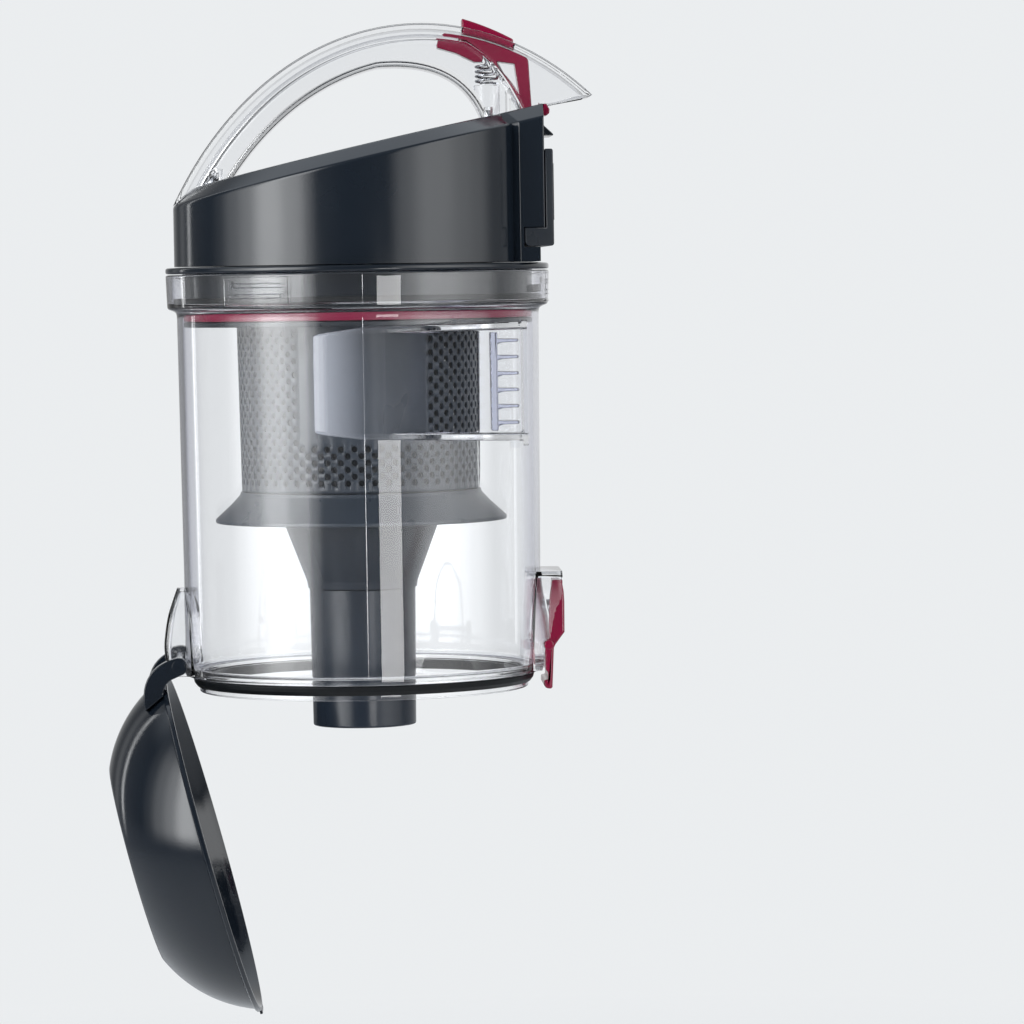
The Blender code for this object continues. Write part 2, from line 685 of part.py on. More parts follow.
def screw(name, x):
    """Screw up through the roof into the handle's foot."""
    head = roof(x) - 5.4 - GAP
    profile = [(0.0, head - 2.0), (3.2, head - 2.0), (3.2, head), (1.5, head), (1.5, head + 9.0), (0.0, head + 9.0)]
    body = turned(name, profile, 16)
    body.data.transform(Matrix.Translation((x * MM, 0.0, 0.0)))
    return body


# --- Handle ---------------------------------------------------------------------------------------

def parting_curve(clearance):
    """Line where the handle's two shells meet, from the left foot to the roof beside the slider."""
    curve = handle_arc(PARTING_DEPTH - clearance, HANDLE_LEFT_ANGLE, 80.0, 24)
    end = (69.2 + clearance, 219.0)
    return curve + bezier([curve[-1], (60.5 + clearance, 243.5 + clearance), end], 8)


def grip_curve(depth):
    """The finger side of the handle, from the left foot to the right foot."""
    curve = handle_arc(depth, HANDLE_LEFT_ANGLE, 100.0, 18)
    lift = GRIP_DEPTH - depth
    return curve + bezier([curve[-1], (28.0 + lift, 244.0 + lift), (47.0 + lift, 240.0 + lift),
                           (52.5 + lift, 216.0)], 10)


def end_at_roof(body):
    """Cut a handle shell off just above the roof, and level with the roof's low corner outside it."""
    low_corner = roof(-HOUSING_RADIUS) - CHAMFER_DROP + GAP
    cut(body, roofed("roof_clearance", -GAP, 150.0, GAP))
    cut(body, box("overhang", (-90.0, -60.0), (-20.0, 20.0), (150.0, low_corner)))
    return body


def handle_lower():
    """Inner shell: a channel that is open towards the outer shell."""
    half = HANDLE_HALF_WIDTH
    outline = grip_curve(GRIP_DEPTH) + parting_curve(0.0)[::-1]
    body = side_prism("handle_lower", outline, half)
    outline = grip_curve(GRIP_DEPTH - 2.6) + [(76.0, 214.0)] + handle_arc(1.0, 60.0, HANDLE_LEFT_ANGLE, 20)
    channel = side_prism("channel", outline, half - 1.9)
    cut(channel, rod("spring_seat", 5.2, (POST_X, 0, 200.0), (POST_X, 0, SPRING_BOTTOM - GAP)),
        rod("spring_spigot", 2.7, (POST_X, 0, 230.0), (POST_X, 0, SPRING_BOTTOM + 2.6)),
        rod("foot_boss", 4.0, (SCREW_LEFT, 0, 170.0), (SCREW_LEFT, 0, 203.0)),
        box("foot_web", (SCREW_LEFT, -40.0), (-1.0, 1.0), (170.0, 201.0)),
        box("guide_rib", (61.2, 62.6), (-20.0, 20.0), (200.0, 233.0)))
    cut(body, channel)
    for x in (SCREW_LEFT, POST_X):
        cut(body, rod("screw_bore", 1.8, (x, 0, 185.0), (x, 0, roof(x) + 4.6)))
    return end_at_roof(body)


def handle_upper():
    """Outer shell: a channel that is open downwards and ends in the beak over the docking side."""
    half = HANDLE_HALF_WIDTH
    edge = handle_arc(0.0, HANDLE_LEFT_ANGLE, HANDLE_TIP_ANGLE, 40)
    beak = [(94.2, 229.6), (78.6, 226.9), (74.2, 227.0), (74.2, 219.0)]
    body = side_prism("handle_upper", edge + beak + parting_curve(GAP)[::-1], half)
    roofline = handle_arc(HANDLE_SKIN, HANDLE_LEFT_ANGLE + 4, HANDLE_TIP_ANGLE + 1.5, 40)
    channel = roofline + [(96.0, 222.0), (60.0, 205.0)] + grip_curve(GRIP_DEPTH)[::-1]
    cut(body, side_prism("channel", channel, half - 1.9))
    slot = (-BUTTON_HALF_WIDTH - GAP, BUTTON_HALF_WIDTH + GAP)
    cut(body, box("button_slot", (BUTTON_LEFT - GAP, BUTTON_RIGHT + GAP), slot, (246.0, 270.0)))
    return end_at_roof(body)


def release_button():
    steps = 6
    xs = [BUTTON_LEFT + (BUTTON_RIGHT - BUTTON_LEFT) * i / steps for i in range(steps + 1)]
    top = [(x, handle_top(x) + 3.6 - 2.0 * i / steps) for i, x in enumerate(xs)]
    bottom = [(x, handle_top(x) - 2.8) for x in reversed(xs)]
    return side_prism("release_button", top + bottom, BUTTON_HALF_WIDTH)


def release_slider():
    """L-shaped slider under the button; its foot carries the hook that holds the container."""
    xs = [36.5 + (69.5 - 36.5) * i / 8 for i in range(9)]
    outline = [(33.2, 253.9)] + [(x, handle_top(x) - 3.3) for x in xs]
    outline += [(70.2, 244.6), (71.2, 226.5), (71.2, 225.0), (75.4, 225.0), (75.9, 229.4), (77.4, 227.0),
                (78.5, 225.0), (78.3, 223.4), (77.2, 222.5), (66.8, 222.4), (66.6, 229.4), (64.6, 243.4),
                (58.5, SPRING_TOP + GAP), (48.5, SPRING_TOP + GAP), (43.0, 249.4), (33.2, 253.0)]
    return side_prism("release_slider", outline, SLIDER_HALF_WIDTH)


def release_spring():
    spring = coil("release_spring", 4.3, 0.45, 4, 10, SPRING_TOP - SPRING_BOTTOM)
    spring.data.transform(Matrix.Translation(Vector((POST_X, 0.0, SPRING_BOTTOM)) * MM))
    return spring


# --- Assembly -------------------------------------------------------------------------------------

def build():
    clear_scene()
    grip = empty("assembly", None, (0.0, 0.0, -GRIP_HEIGHT))
    lid_pivot = (PIN_X, 0.0, PIN_Z)
    latch_pivot = (LATCH_X, 0.0, LATCH_Z)
    lid_hinge = empty("lid_hinge", grip, lid_pivot, LID_OPEN_ANGLE)
    latch_hinge = empty("latch_hinge", grip, latch_pivot)

    for part, paint in (
        (housing_cover(), "dark"), (housing_base(), "dark"), (docking_frame(), "dark"),
        (outlet_seal(), "rubber"), (outlet_grille(), "dark"),
        (ring_part("collar_gasket", 70.9, 74.3, 149.2, 151.4), "rubber"),
        (ring_part("trim_ring", 58.0, 70.2, 141.9, 145.8), "magenta"),
        (ring_part("seal_ring", 61.4, 70.2, 139.6, 141.6), "rubber"),
        (mesh_screen(), "grey"), (dust_skirt(), "grey"), (cyclone_cone(), "grey"), (dust_tube(), "dark"),
        (vortex_cap(), "grey"), (filter_tray(), "dark"),
        (ring_part("foam_filter", 0.0, 66.0, 166.3, 176.2, MEDIUM), "foam"),
        (pleated_filter(), "paper"), (filter_frame(), "dark"),
        (screw("handle_screw_left", SCREW_LEFT), "steel"), (screw("handle_screw_right", POST_X), "steel"),
        (handle_lower(), "clear"), (handle_upper(), "clear"),
        (release_button(), "magenta"), (release_slider(), "magenta"), (release_spring(), "steel"),
        (bin_shell(), "clear"), (inlet_duct(), "clear"), (inlet_comb(), "clear"),
        (bottom_seal(), "rubber"), (lid_hinge_pin(), "steel"), (latch_spring(), "steel"),
    ):
        seat(part, grip, paint)

    seat(latch_lever(), latch_hinge, "magenta", latch_pivot)
    seat(bottom_lid(), lid_hinge, "dark", lid_pivot)
    seat(tube_pad(), lid_hinge, "rubber", lid_pivot)


build()
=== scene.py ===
"""Looks for the removable cyclone dust container of a bagless vacuum cleaner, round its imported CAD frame.

Lengths are millimetres in the bin's own frame: z = 0 is the bin's bottom rim, its axis is Z and +X is the
docking side. put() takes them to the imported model's metres, whose origin is the middle of the grip.
"""
import math

import bmesh
import bpy
from mathutils import Matrix, Vector

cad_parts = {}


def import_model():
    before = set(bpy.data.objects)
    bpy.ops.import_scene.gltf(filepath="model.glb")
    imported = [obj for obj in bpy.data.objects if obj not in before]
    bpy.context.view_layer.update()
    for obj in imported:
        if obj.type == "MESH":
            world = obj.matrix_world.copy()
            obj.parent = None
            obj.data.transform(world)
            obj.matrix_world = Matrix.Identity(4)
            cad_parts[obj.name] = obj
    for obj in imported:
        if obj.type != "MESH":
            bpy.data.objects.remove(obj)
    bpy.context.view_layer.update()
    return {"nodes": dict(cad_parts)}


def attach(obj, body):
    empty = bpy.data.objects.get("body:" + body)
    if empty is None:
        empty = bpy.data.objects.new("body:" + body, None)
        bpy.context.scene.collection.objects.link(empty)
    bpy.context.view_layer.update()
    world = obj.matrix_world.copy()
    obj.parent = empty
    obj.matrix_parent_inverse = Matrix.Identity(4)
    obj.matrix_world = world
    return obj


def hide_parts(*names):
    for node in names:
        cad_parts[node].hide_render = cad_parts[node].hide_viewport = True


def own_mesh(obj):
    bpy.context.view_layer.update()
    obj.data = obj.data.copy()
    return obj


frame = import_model()

MM = 0.001
GRIP_HEIGHT = 250.0
ROUND = 192
GAP = 0.3

# Dust bin
BIN_WALL = 2.2
COLLAR_RADIUS = 77.0
COLLAR_INNER_RADIUS = 74.8
SPIGOT_RADIUS = 66.3
LUG_ANGLES = (238.0, 358.0, 118.0)
LUG_SPAN = 18.0
SEAM_ANGLE = -89.0

# Inlet duct
DUCT_FRONT = -74.6
DUCT_BACK = -34.0
DUCT_LEFT = -20.6
DUCT_RIGHT = 65.0
DUCT_BOTTOM = 94.0
DUCT_TOP = 140.4
DUCT_WALL = 2.0
DUCT_TAPER = 4.0 / 29.0

# Lid and latch
PIN = (-74.1, 4.6)
PIN_RADIUS = 1.4
LID_OPEN_ANGLE = 75.1
LID_RIM_TOP = -2.4
LID_RADIUS = 71.2
LID_DEPTH = 32.4
LID_FLOOR_RADIUS = 41.0
ARM_INNER = 24.2
ARM_OUTER = 30.2
LATCH = (74.1, 10.3)
TRUNNION_RADIUS = 1.9
LATCH_HALF_WIDTH = 15.3

# Cyclone unit
SCREEN_RADII = (48.0, 49.0)
SCREEN_LEVELS = (73.3, 141.6)
HOLE_COLUMNS = 112
HOLE_STEP = 360.0 / HOLE_COLUMNS
HOLE_PITCH = 5.4
HOLE_RADIUS = 1.28
HOLE_ROWS = 12
HOLES_BOTTOM = 74.6
BLANK_ROWS_FROM = 3
BLANK_ANGLES = (-121.0, -57.0)
SKIRT_RADIUS = 58.8
SKIRT_BOTTOM = 60.6
CONE_RADIUS = 36.6
TUBE_RADIUS = 21.4
TUBE_BOTTOM = -22.2

# Housing
HOUSING_RADIUS = 73.7
HOUSING_BOTTOM = 163.9
FLANGE_RADIUS = 77.3
ROOF_AT_AXIS = 209.9
ROOF_SLOPE = math.tan(math.radians(12.55))
CHAMFER_WIDTH = 8.3
CHAMFER_DROP = 5.4
HOUSING_WALL = 2.4
DOCK_FACE = 74.4
DOCK_HALF_WIDTH = 42.0
DOCK_BOTTOM = 177.5
PORT_WIDTH = (-29.0, 29.0)
PORT_HEIGHT = (180.0, 203.0)

# Handle
HANDLE_CENTRE = (26.0, 108.0)
HANDLE_AXES = (117.0, 152.0)
HANDLE_ANGLES = (153.0, 53.6)
HANDLE_HALF_WIDTH = 13.5
HANDLE_SKIN = 2.3
GRIP_DEPTH = 15.5
CHANNEL_HALF_WIDTH = HANDLE_HALF_WIDTH - 1.9
PARTING_DEPTH = 6.2
POST_X = 53.4
SCREW_LEFT = -57.5
SPRING = (235.4, 244.0)


# --- Meshes, in millimetres ---

def polar(radius, degrees):
    """The x and y of a point on a circle."""
    return radius * math.cos(math.radians(degrees)), radius * math.sin(math.radians(degrees))


def roof(x):
    """Height of the housing's slanted roof at x."""
    return ROOF_AT_AXIS + ROOF_SLOPE * x


def rounded(outline, radii, steps=4):
    """A closed outline with corners filleted. radii is one number, or a number for each corner's index."""
    made = []
    count = len(outline)
    for i, corner in enumerate(outline):
        radius = radii.get(i, 0.0) if isinstance(radii, dict) else radii
        here = Vector(corner)
        back = Vector(outline[i - 1]) - here
        ahead = Vector(outline[(i + 1) % count]) - here
        turn = math.pi - back.angle(ahead)
        if radius <= 0 or turn < 0.1:
            made.append(tuple(here))
            continue
        reach = min(radius * math.tan(turn / 2), 0.48 * back.length, 0.48 * ahead.length)
        start = here + back.normalized() * reach
        end = here + ahead.normalized() * reach
        for k in range(steps + 1):
            t = k / steps
            made.append(tuple(start.lerp(here, t).lerp(here.lerp(end, t), t)))
    return made


def oblong(across, up, radius=0.0):
    """A rectangle between two limits each way, with its corners filleted."""
    (left, right), (low, high) = across, up
    return rounded([(left, low), (right, low), (right, high), (left, high)], radius)


def clearance(point, outline):
    """Distance from a point to a closed outline."""
    best = 1e9
    for a, b in zip(outline, outline[1:] + outline[:1]):
        start, along = Vector(a), Vector(b) - Vector(a)
        t = (point - start).dot(along) / max(along.length_squared, 1e-12)
        best = min(best, (point - start - along * min(1.0, max(0.0, t))).length)
    return best


def inset(outline, distance):
    """A closed counter-clockwise outline moved inwards, with crowded corners drawn together."""
    moved = []
    for i, point in enumerate(outline):
        before = Vector(outline[i - 1])
        here = Vector(point)
        after = Vector(outline[(i + 1) % len(outline)])
        one = (here - before).normalized()
        two = (after - here).normalized()
        normal = Vector((-one.y - two.y, one.x + two.x)).normalized()
        stretch = max(0.4, normal.dot(Vector((-one.y, one.x))))
        moved.append(here + normal * distance / stretch)
    good = [clearance(point, outline) > 0.93 * distance for point in moved]
    count = len(moved)
    for i in range(count):
        if not good[i]:
            kept = (k for k in range(count) if good[k])
            moved[i] = moved[min(kept, key=lambda k: min((i - k) % count, (k - i) % count))]
    return [tuple(point) for point in moved]


def bezier(points, steps):
    """Points along a Bezier curve of any degree, without its first point."""
    curve = []
    for i in range(1, steps + 1):
        row = [Vector(point) for point in points]
        while len(row) > 1:
            row = [a.lerp(b, i / steps) for a, b in zip(row, row[1:])]
        curve.append(tuple(row[0]))
    return curve


def arc_through(start, end, radius, steps):
    """Points along an arc that bulges to the right of the way from start to end."""
    a, b = Vector(start), Vector(end)
    chord = b - a
    reach = math.sqrt(radius ** 2 - (chord.length / 2) ** 2)
    centre = (a + b) / 2 + Vector((-chord.y, chord.x)).normalized() * reach
    first = math.atan2(a.y - centre.y, a.x - centre.x)
    sweep = 2 * math.asin(chord.length / 2 / radius)
    return [(centre.x + radius * math.cos(first + sweep * i / steps),
             centre.y + radius * math.sin(first + sweep * i / steps)) for i in range(steps + 1)]


def smooth_levels(levels, parts):
    """Rows of numbers with a Catmull-Rom curve's points between them."""
    made = []
    for i in range(len(levels) - 1):
        a, b, c, d = (levels[max(i - 1, 0)], levels[i], levels[i + 1], levels[min(i + 2, len(levels) - 1)])
        for k in range(parts):
            t = k / parts
            made.append(tuple(
                0.5 * (2 * q + (r - p) * t + (2 * p - 5 * q + 4 * r - s) * t * t
                       + (3 * q - p - 3 * r + s) * t ** 3)
                for p, q, r, s in zip(a, b, c, d)))
    return made + [levels[-1]]


def loft(rings, closed=False):
    """A solid through rings of points: capped at both ends, or closed from the last ring to the first."""
    bm = bmesh.new()
    rows = [[bm.verts.new(point) for point in ring] for ring in rings]
    following = rows[1:] + rows[:1] if closed else rows[1:]
    if not closed:
        bm.faces.new(rows[0])
        bm.faces.new(rows[-1])
    count = len(rows[0])
    for lower, upper in zip(rows, following):
        for i in range(count):
            j = (i + 1) % count
            bm.faces.new((lower[i], lower[j], upper[j], upper[i]))
    bmesh.ops.remove_doubles(bm, verts=bm.verts, dist=0.002)
    bmesh.ops.recalc_face_normals(bm, faces=bm.faces)
    return bm


def box(x, y, z):
    """A block between two limits on each axis."""
    ring = [(x[0], y[0]), (x[1], y[0]), (x[1], y[1]), (x[0], y[1])]
    return loft([[(px, py, height) for px, py in ring] for height in z])


def edge_round(half, radius, steps):
    """(inset, offset) pairs from one face of a slab to the other, round its two edges."""
    first = [(radius * (1 - math.sin(a)), -half + radius * (1 - math.cos(a)))
             for a in (math.pi / 2 * i / steps for i in range(steps + 1))]
    return first + [(d, -offset) for d, offset in reversed(first)]


def anticlockwise(outline):
    """A closed outline, turned round if it runs clockwise."""
    area = sum(a[0] * b[1] - b[0] * a[1] for a, b in zip(outline, outline[1:] + outline[:1]))
    return outline if area > 0 else outline[::-1]


def layers(outline, half, edge, steps=3):
    """(outline, offset) pairs through a slab that is 2 x half thick, with its edges rounded."""
    outline = anticlockwise(outline)
    stops = edge_round(half, edge, steps) if edge else [(0.0, -half), (0.0, half)]
    return [(inset(outline, d) if d > 1e-6 else outline, offset) for d, offset in stops]


def side_prism(outline, half_width, edge=0.0, middle=0.0):
    """An (x, z) outline made solid in Y about middle, with rounded edges."""
    return loft([[(x, middle + y, z) for x, z in ring] for ring, y in layers(outline, half_width, edge)])


def plan_prism(outline, bottom, top, edge=0.0):
    """An (x, y) outline made solid from bottom to top, with rounded edges."""
    half, middle = (top - bottom) / 2, (top + bottom) / 2
    return loft([[(x, y, middle + z) for x, y in ring] for ring, z in layers(outline, half, edge)])


def turned(profile, steps=ROUND):
    """A closed outline of (radius, z) points turned round the Z axis."""
    bm = bmesh.new()
    points = [bm.verts.new((radius, 0.0, z)) for radius, z in profile]
    pairs = zip(points, points[1:] + points[:1])
    edges = [bm.edges.new((a, b)) for a, b in pairs if a.co.x + b.co.x > 0]
    bmesh.ops.spin(bm, geom=points + edges, axis=(0, 0, 1), cent=(0, 0, 0), steps=steps,
                   angle=2 * math.pi, use_merge=True)
    bmesh.ops.remove_doubles(bm, verts=bm.verts, dist=0.001)
    bmesh.ops.recalc_face_normals(bm, faces=bm.faces)
    return bm


def rod(radius, start, end, edge=0.0, steps=32):
    """A round bar between two points."""
    a, b = Vector(start), Vector(end)
    turn = (b - a).to_track_quat("Z", "Y").to_matrix()
    half = (b - a).length / 2
    stops = edge_round(half, edge, 3) if edge else [(0.0, -half), (0.0, half)]
    rings = []
    for d, offset in stops:
        circle = [Vector((*polar(radius - d, 360 * i / steps), offset)) for i in range(steps)]
        rings.append([(a + b) / 2 + turn @ point for point in circle])
    return loft(rings)


def axle(radius, centre, start, end, edge=0.0):
    """A round bar along Y about an (x, z) centre."""
    x, z = centre
    return rod(radius, (x, start, z), (x, end, z), edge=edge)


def tube(path, radius, steps=10, closed=False):
    """A round wire along a path of points."""
    points = [Vector(p) for p in path]
    rings = []
    count = len(points)
    side = None
    for i, here in enumerate(points):
        ahead = points[(i + 1) % count] if closed or i + 1 < count else here
        back = points[i - 1] if closed or i else here
        along = (ahead - back).normalized()
        if side is None:
            side = along.orthogonal().normalized()
        side = (side - along * side.dot(along)).normalized()
        other = along.cross(side)
        rings.append([here + side * polar(radius, a)[0] + other * polar(radius, a)[1]
                      for a in (360 * k / steps for k in range(steps))])
    return loft(rings, closed)


def sector(radii, z, middle, span, steps=12, edge=0.0):
    """A block of a ring, span degrees wide."""
    angles = [middle + span * (i / steps - 0.5) for i in range(steps + 1)]
    outline = [polar(radii[1], a) for a in angles] + [polar(radii[0], a) for a in reversed(angles)]
    return plan_prism(outline, *z, edge=edge)


def join(*parts):
    """One bmesh of several, left as they are."""
    whole = parts[0]
    for part in parts[1:]:
        mesh = bpy.data.meshes.new("join")
        part.to_mesh(mesh)
        part.free()
        whole.from_mesh(mesh)
        bpy.data.meshes.remove(mesh)
    return whole


def helper(bm):
    """bm as a scene object, for a Boolean."""
    mesh = bpy.data.meshes.new("helper")
    bm.to_mesh(mesh)
    bm.free()
    obj = bpy.data.objects.new("helper", mesh)
    bpy.context.scene.collection.objects.link(obj)
    return obj


def combine(bm, operation, tools):
    """The exact Boolean of bm with each tool in turn."""
    for tool in tools:
        one, two = helper(bm), helper(tool)
        step = one.modifiers.new("step", "BOOLEAN")
        step.operation = operation
        step.object = two
        bpy.context.view_layer.update()
        graph = bpy.context.evaluated_depsgraph_get()
        result = bpy.data.meshes.new_from_object(one.evaluated_get(graph))
        bm = bmesh.new()
        bm.from_mesh(result)
        for obj in (one, two):
            mesh = obj.data
            bpy.data.objects.remove(obj)
            bpy.data.meshes.remove(mesh)
        bpy.data.meshes.remove(result)
    return bm


def cut(bm, *tools):
    """bm without the tools."""
    return combine(bm, "DIFFERENCE", tools)


def add(bm, *tools):
    """bm with the tools melted in."""
    return combine(bm, "UNION", tools)


def put(name, bm, body, paint, stands_for=(), sharp=32.0):
    """Make bm a piece of the scene: in metres, smooth, painted, and riding on its CAD body."""
    bmesh.ops.remove_doubles(bm, verts=bm.verts, dist=0.0005)
    bmesh.ops.scale(bm, vec=(MM, MM, MM), verts=bm.verts)
    bmesh.ops.translate(bm, vec=(0.0, 0.0, -GRIP_HEIGHT * MM), verts=bm.verts)
    mesh = bpy.data.meshes.new(name)
    bm.to_mesh(mesh)
    bm.free()
    mesh.shade_smooth()
    mesh.set_sharp_from_angle(angle=math.radians(sharp))
    mesh.materials.append(paint)
    obj = bpy.data.objects.new(name, mesh)
    bpy.context.scene.collection.objects.link(obj)
    even = obj.modifiers.new("even_normals", "WEIGHTED_NORMAL")
    even.keep_sharp = True
    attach(obj, body)
    if stands_for:
        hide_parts(*stands_for)
    return obj


# --- Materials ---

class Nodes:
    """A node tree under construction."""

    def __init__(self, tree):
        self.tree = tree

    def node(self, kind, **settings):
        """A new node."""
        made = self.tree.nodes.new(kind)
        for key, value in settings.items():
            setattr(made, key, value)
        return made

    def feed(self, value, socket):
        """Link another node's output to a socket, or set the socket to a number or a colour."""
        if isinstance(value, bpy.types.NodeSocket):
            self.tree.links.new(value, socket)
        else:
            socket.default_value = value

    def math(self, operation, *values):
        """The result of a sum on numbers or outputs."""
        made = self.node("ShaderNodeMath", operation=operation)
        for value, socket in zip(values, made.inputs):
            self.feed(value, socket)
        return made.outputs[0]

    def span(self, source, start, end, low=0.0, high=1.0, kind="LINEAR"):
        """A value that goes from low to high while source goes from start to end."""
        made = self.node("ShaderNodeMapRange", interpolation_type=kind)
        for value, socket in zip((source, start, end, low, high), made.inputs):
            self.feed(value, socket)
        return made.outputs[0]

    def mix(self, factor, one, two):
        """A mix of two colours."""
        made = self.node("ShaderNodeMix", data_type="RGBA")
        for value, socket in ((factor, made.inputs[0]), (one, made.inputs[6]), (two, made.inputs[7])):
            self.feed(value, socket)
        return made.outputs[2]

    def ramp(self, source, stops, kind="LINEAR"):
        """A colour ramp. Each stop is a position with a grey value or a colour."""
        made = self.node("ShaderNodeValToRGB")
        made.color_ramp.interpolation = kind
        elements = made.color_ramp.elements
        while len(elements) < len(stops):
            elements.new(0.5)
        for element, (position, value) in zip(elements, stops):
            element.position = position
            element.color = (*value, 1.0) if isinstance(value, tuple) else (value, value, value, 1.0)
        self.feed(source, made.inputs["Fac"])
        return made.outputs["Color"]


class Paint(Nodes):
    """A material under construction, read in the piece's own rest coordinates."""

    def __init__(self, name):
        self.material = bpy.data.materials.new(name)
        self.material.use_nodes = True
        super().__init__(self.material.node_tree)
        self.shader = self.tree.nodes["Principled BSDF"]
        self.place = self.node("ShaderNodeTexCoord").outputs["Object"]

    def drive(self, name, source):
        """Link an output to one of the shader's inputs."""
        self.feed(source, self.shader.inputs[name])

    def set(self, **values):
        """Set the shader's inputs that are the same all over."""
        for key, value in values.items():
            self.shader.inputs[key.replace("_", " ")].default_value = value

    def noise(self, scale, detail=3.0, stretch=None):
        """Noise from 0 to 1, with scale lumps to the metre."""
        place = self.place
        if stretch:
            mapping = self.node("ShaderNodeMapping")
            mapping.inputs["Scale"].default_value = stretch
            self.feed(place, mapping.inputs["Vector"])
            place = mapping.outputs["Vector"]
        made = self.node("ShaderNodeTexNoise")
        made.inputs["Scale"].default_value = scale
        made.inputs["Detail"].default_value = detail
        self.feed(place, made.inputs["Vector"])
        return made.outputs["Fac"]

    def relief(self, source, distance):
        """Raise the surface by up to distance, in metres."""
        made = self.node("ShaderNodeBump")
        made.inputs["Distance"].default_value = distance
        self.feed(source, made.inputs["Height"])
        self.drive("Normal", made.outputs["Normal"])

    def mottle(self, source, colour, spread, start, end):
        """Darker and lighter patches of a colour."""
        dark = tuple(c * (1 - spread) for c in colour)
        light = tuple(min(1.0, c * (1 + spread)) for c in colour)
        self.drive("Base Color", self.ramp(source, [(start, dark), (end, light)]))

    def blend(self, factor, one, two):
        """A mix of two shaders."""
        made = self.node("ShaderNodeMixShader")
        for value, socket in zip((factor, one, two), made.inputs):
            self.feed(value, socket)
        return made.outputs[0]


def plastic(name, colour, roughness, grain=0.6):
    """Moulded plastic: faint mottling, uneven gloss, and a shallow grain on a little orange peel."""
    paint = Paint(name)
    paint.mottle(paint.noise(22.0, 4.0), colour, 0.10, 0.3, 0.7)
    smudge = paint.noise(60.0, 5.0, (1.0, 1.0, 0.45))
    paint.drive("Roughness", paint.ramp(smudge, [(0.35, roughness - 0.035), (0.75, roughness + 0.05)]))
    orange_peel = paint.math("MULTIPLY", paint.noise(110.0, 2.0), 0.45)
    paint.relief(paint.math("MULTIPLY_ADD", paint.noise(1600.0, 2.0), grain, orange_peel), 0.00003)
    paint.set(IOR=1.5)
    return paint.material


def frosted(paint, solid, haze):
    """A clear shader with a frosted film that fades along X. haze is (x from, x to, amount), in metres."""
    place = paint.node("ShaderNodeSeparateXYZ")
    paint.feed(paint.place, place.inputs[0])
    start, end, amount = haze
    film = paint.node("ShaderNodeBsdfDiffuse")
    film.inputs["Color"].default_value = FROST
    return paint.blend(paint.span(place.outputs["X"], start, end, amount, 0.0), solid, film.outputs[0])


def lamp_proof(paint, solid):
    """A clear shader that lets lamp light and soft light straight through, so what is inside is lit."""
    rays = paint.node("ShaderNodeLightPath")
    light = paint.math("MAXIMUM", rays.outputs["Is Shadow Ray"], rays.outputs["Is Diffuse Ray"])
    through = paint.node("ShaderNodeBsdfTransparent")
    through.inputs["Color"].default_value = (0.93, 0.94, 0.96, 1.0)
    return paint.blend(light, solid, through.outputs[0])


def clear_plastic(name, middle, edge, start=0.5, ior=1.49, haze=None):
    """Clear polycarbonate with faint moulding ripples, darker and bluer where seen edge on: partly its own
    tint, partly painted shade for dark edge lines.
    """
    paint = Paint(name)
    facing = paint.node("ShaderNodeLayerWeight")
    facing.inputs["Blend"].default_value = 0.35
    # Edge colour: partly the plastic's own tint, partly painted shade for the dark lines that refraction
    # gives at the edges.
    edge_tint_and_shade = [(0.0, middle), (start, middle), (1.0, edge)]
    paint.drive("Base Color", paint.ramp(facing.outputs["Facing"], edge_tint_and_shade))
    paint.drive("Roughness", paint.ramp(paint.noise(35.0, 4.0), [(0.45, 0.006), (0.8, 0.033)]))
    paint.relief(paint.noise(24.0, 1.0, (1.0, 1.0, 0.35)), 0.00010)
    paint.set(IOR=ior, Transmission_Weight=1.0)
    solid = paint.shader.outputs[0]
    if haze:
        solid = frosted(paint, solid, haze)
    paint.feed(lamp_proof(paint, solid), paint.tree.nodes["Material Output"].inputs["Surface"])
    return paint.material


def soft_matter(name, colour, roughness, scale, depth, spread=0.25):
    """Rubber, foam or paper: a mottled matt surface with pores or fibres."""
    paint = Paint(name)
    fibre = paint.noise(scale, 6.0)
    paint.mottle(fibre, colour, spread, 0.35, 0.65)
    paint.relief(fibre, depth)
    paint.set(IOR=1.32)
    smudge = [(0.3, roughness * 0.85), (0.7, min(1.0, roughness * 1.1))]
    paint.drive("Roughness", paint.ramp(paint.noise(90.0), smudge))
    return paint.material


def steel(name):
    """Drawn spring steel with fine lines along it."""
    paint = Paint(name)
    lines = paint.noise(400.0, 4.0, (1.0, 1.0, 0.2))
    paint.drive("Base Color", paint.ramp(lines, [(0.3, (0.36, 0.37, 0.39)), (0.7, (0.62, 0.63, 0.66))]))
    paint.drive("Roughness", paint.ramp(lines, [(0.3, 0.16), (0.7, 0.3)]))
    paint.relief(lines, 0.00001)
    paint.set(Metallic=1.0)
    return paint.material


FROST = (0.52, 0.54, 0.60, 1.0)
DARK = plastic("dark_gloss", (0.0085, 0.0125, 0.0185), 0.13)
LID_DARK = plastic("dark_lid_gloss", (0.0075, 0.0110, 0.0165), 0.09)
DARK_SATIN = plastic("dark_satin", (0.012, 0.016, 0.022), 0.30)
GREY = plastic("grey_satin", (0.026, 0.034, 0.046), 0.30, grain=1.2)
CONE_GREY = plastic("grey_cone", (0.014, 0.020, 0.030), 0.20)
MAGENTA = plastic("magenta_gloss", (0.20, 0.003, 0.030), 0.14)
RING_MAGENTA = plastic("magenta_ring", (0.22, 0.004, 0.038), 0.24)
RUBBER = soft_matter("black_rubber", (0.004, 0.005, 0.006), 0.42, 700.0, 0.00004)
FOAM = soft_matter("filter_foam", (0.10, 0.10, 0.11), 0.95, 500.0, 0.0004)
PAPER = soft_matter("filter_paper", (0.72, 0.71, 0.66), 0.9, 800.0, 0.0001, 0.08)
STEEL = steel("spring_steel")
# Edge colours are partly the plastics' tint and partly painted shade for dark lines at wall edges; the
# handle's is darkest, for its broad grey edge lines.
CLEAR = clear_plastic("clear_bin", (0.985, 0.988, 0.995), (0.48, 0.49, 0.70), start=0.42)
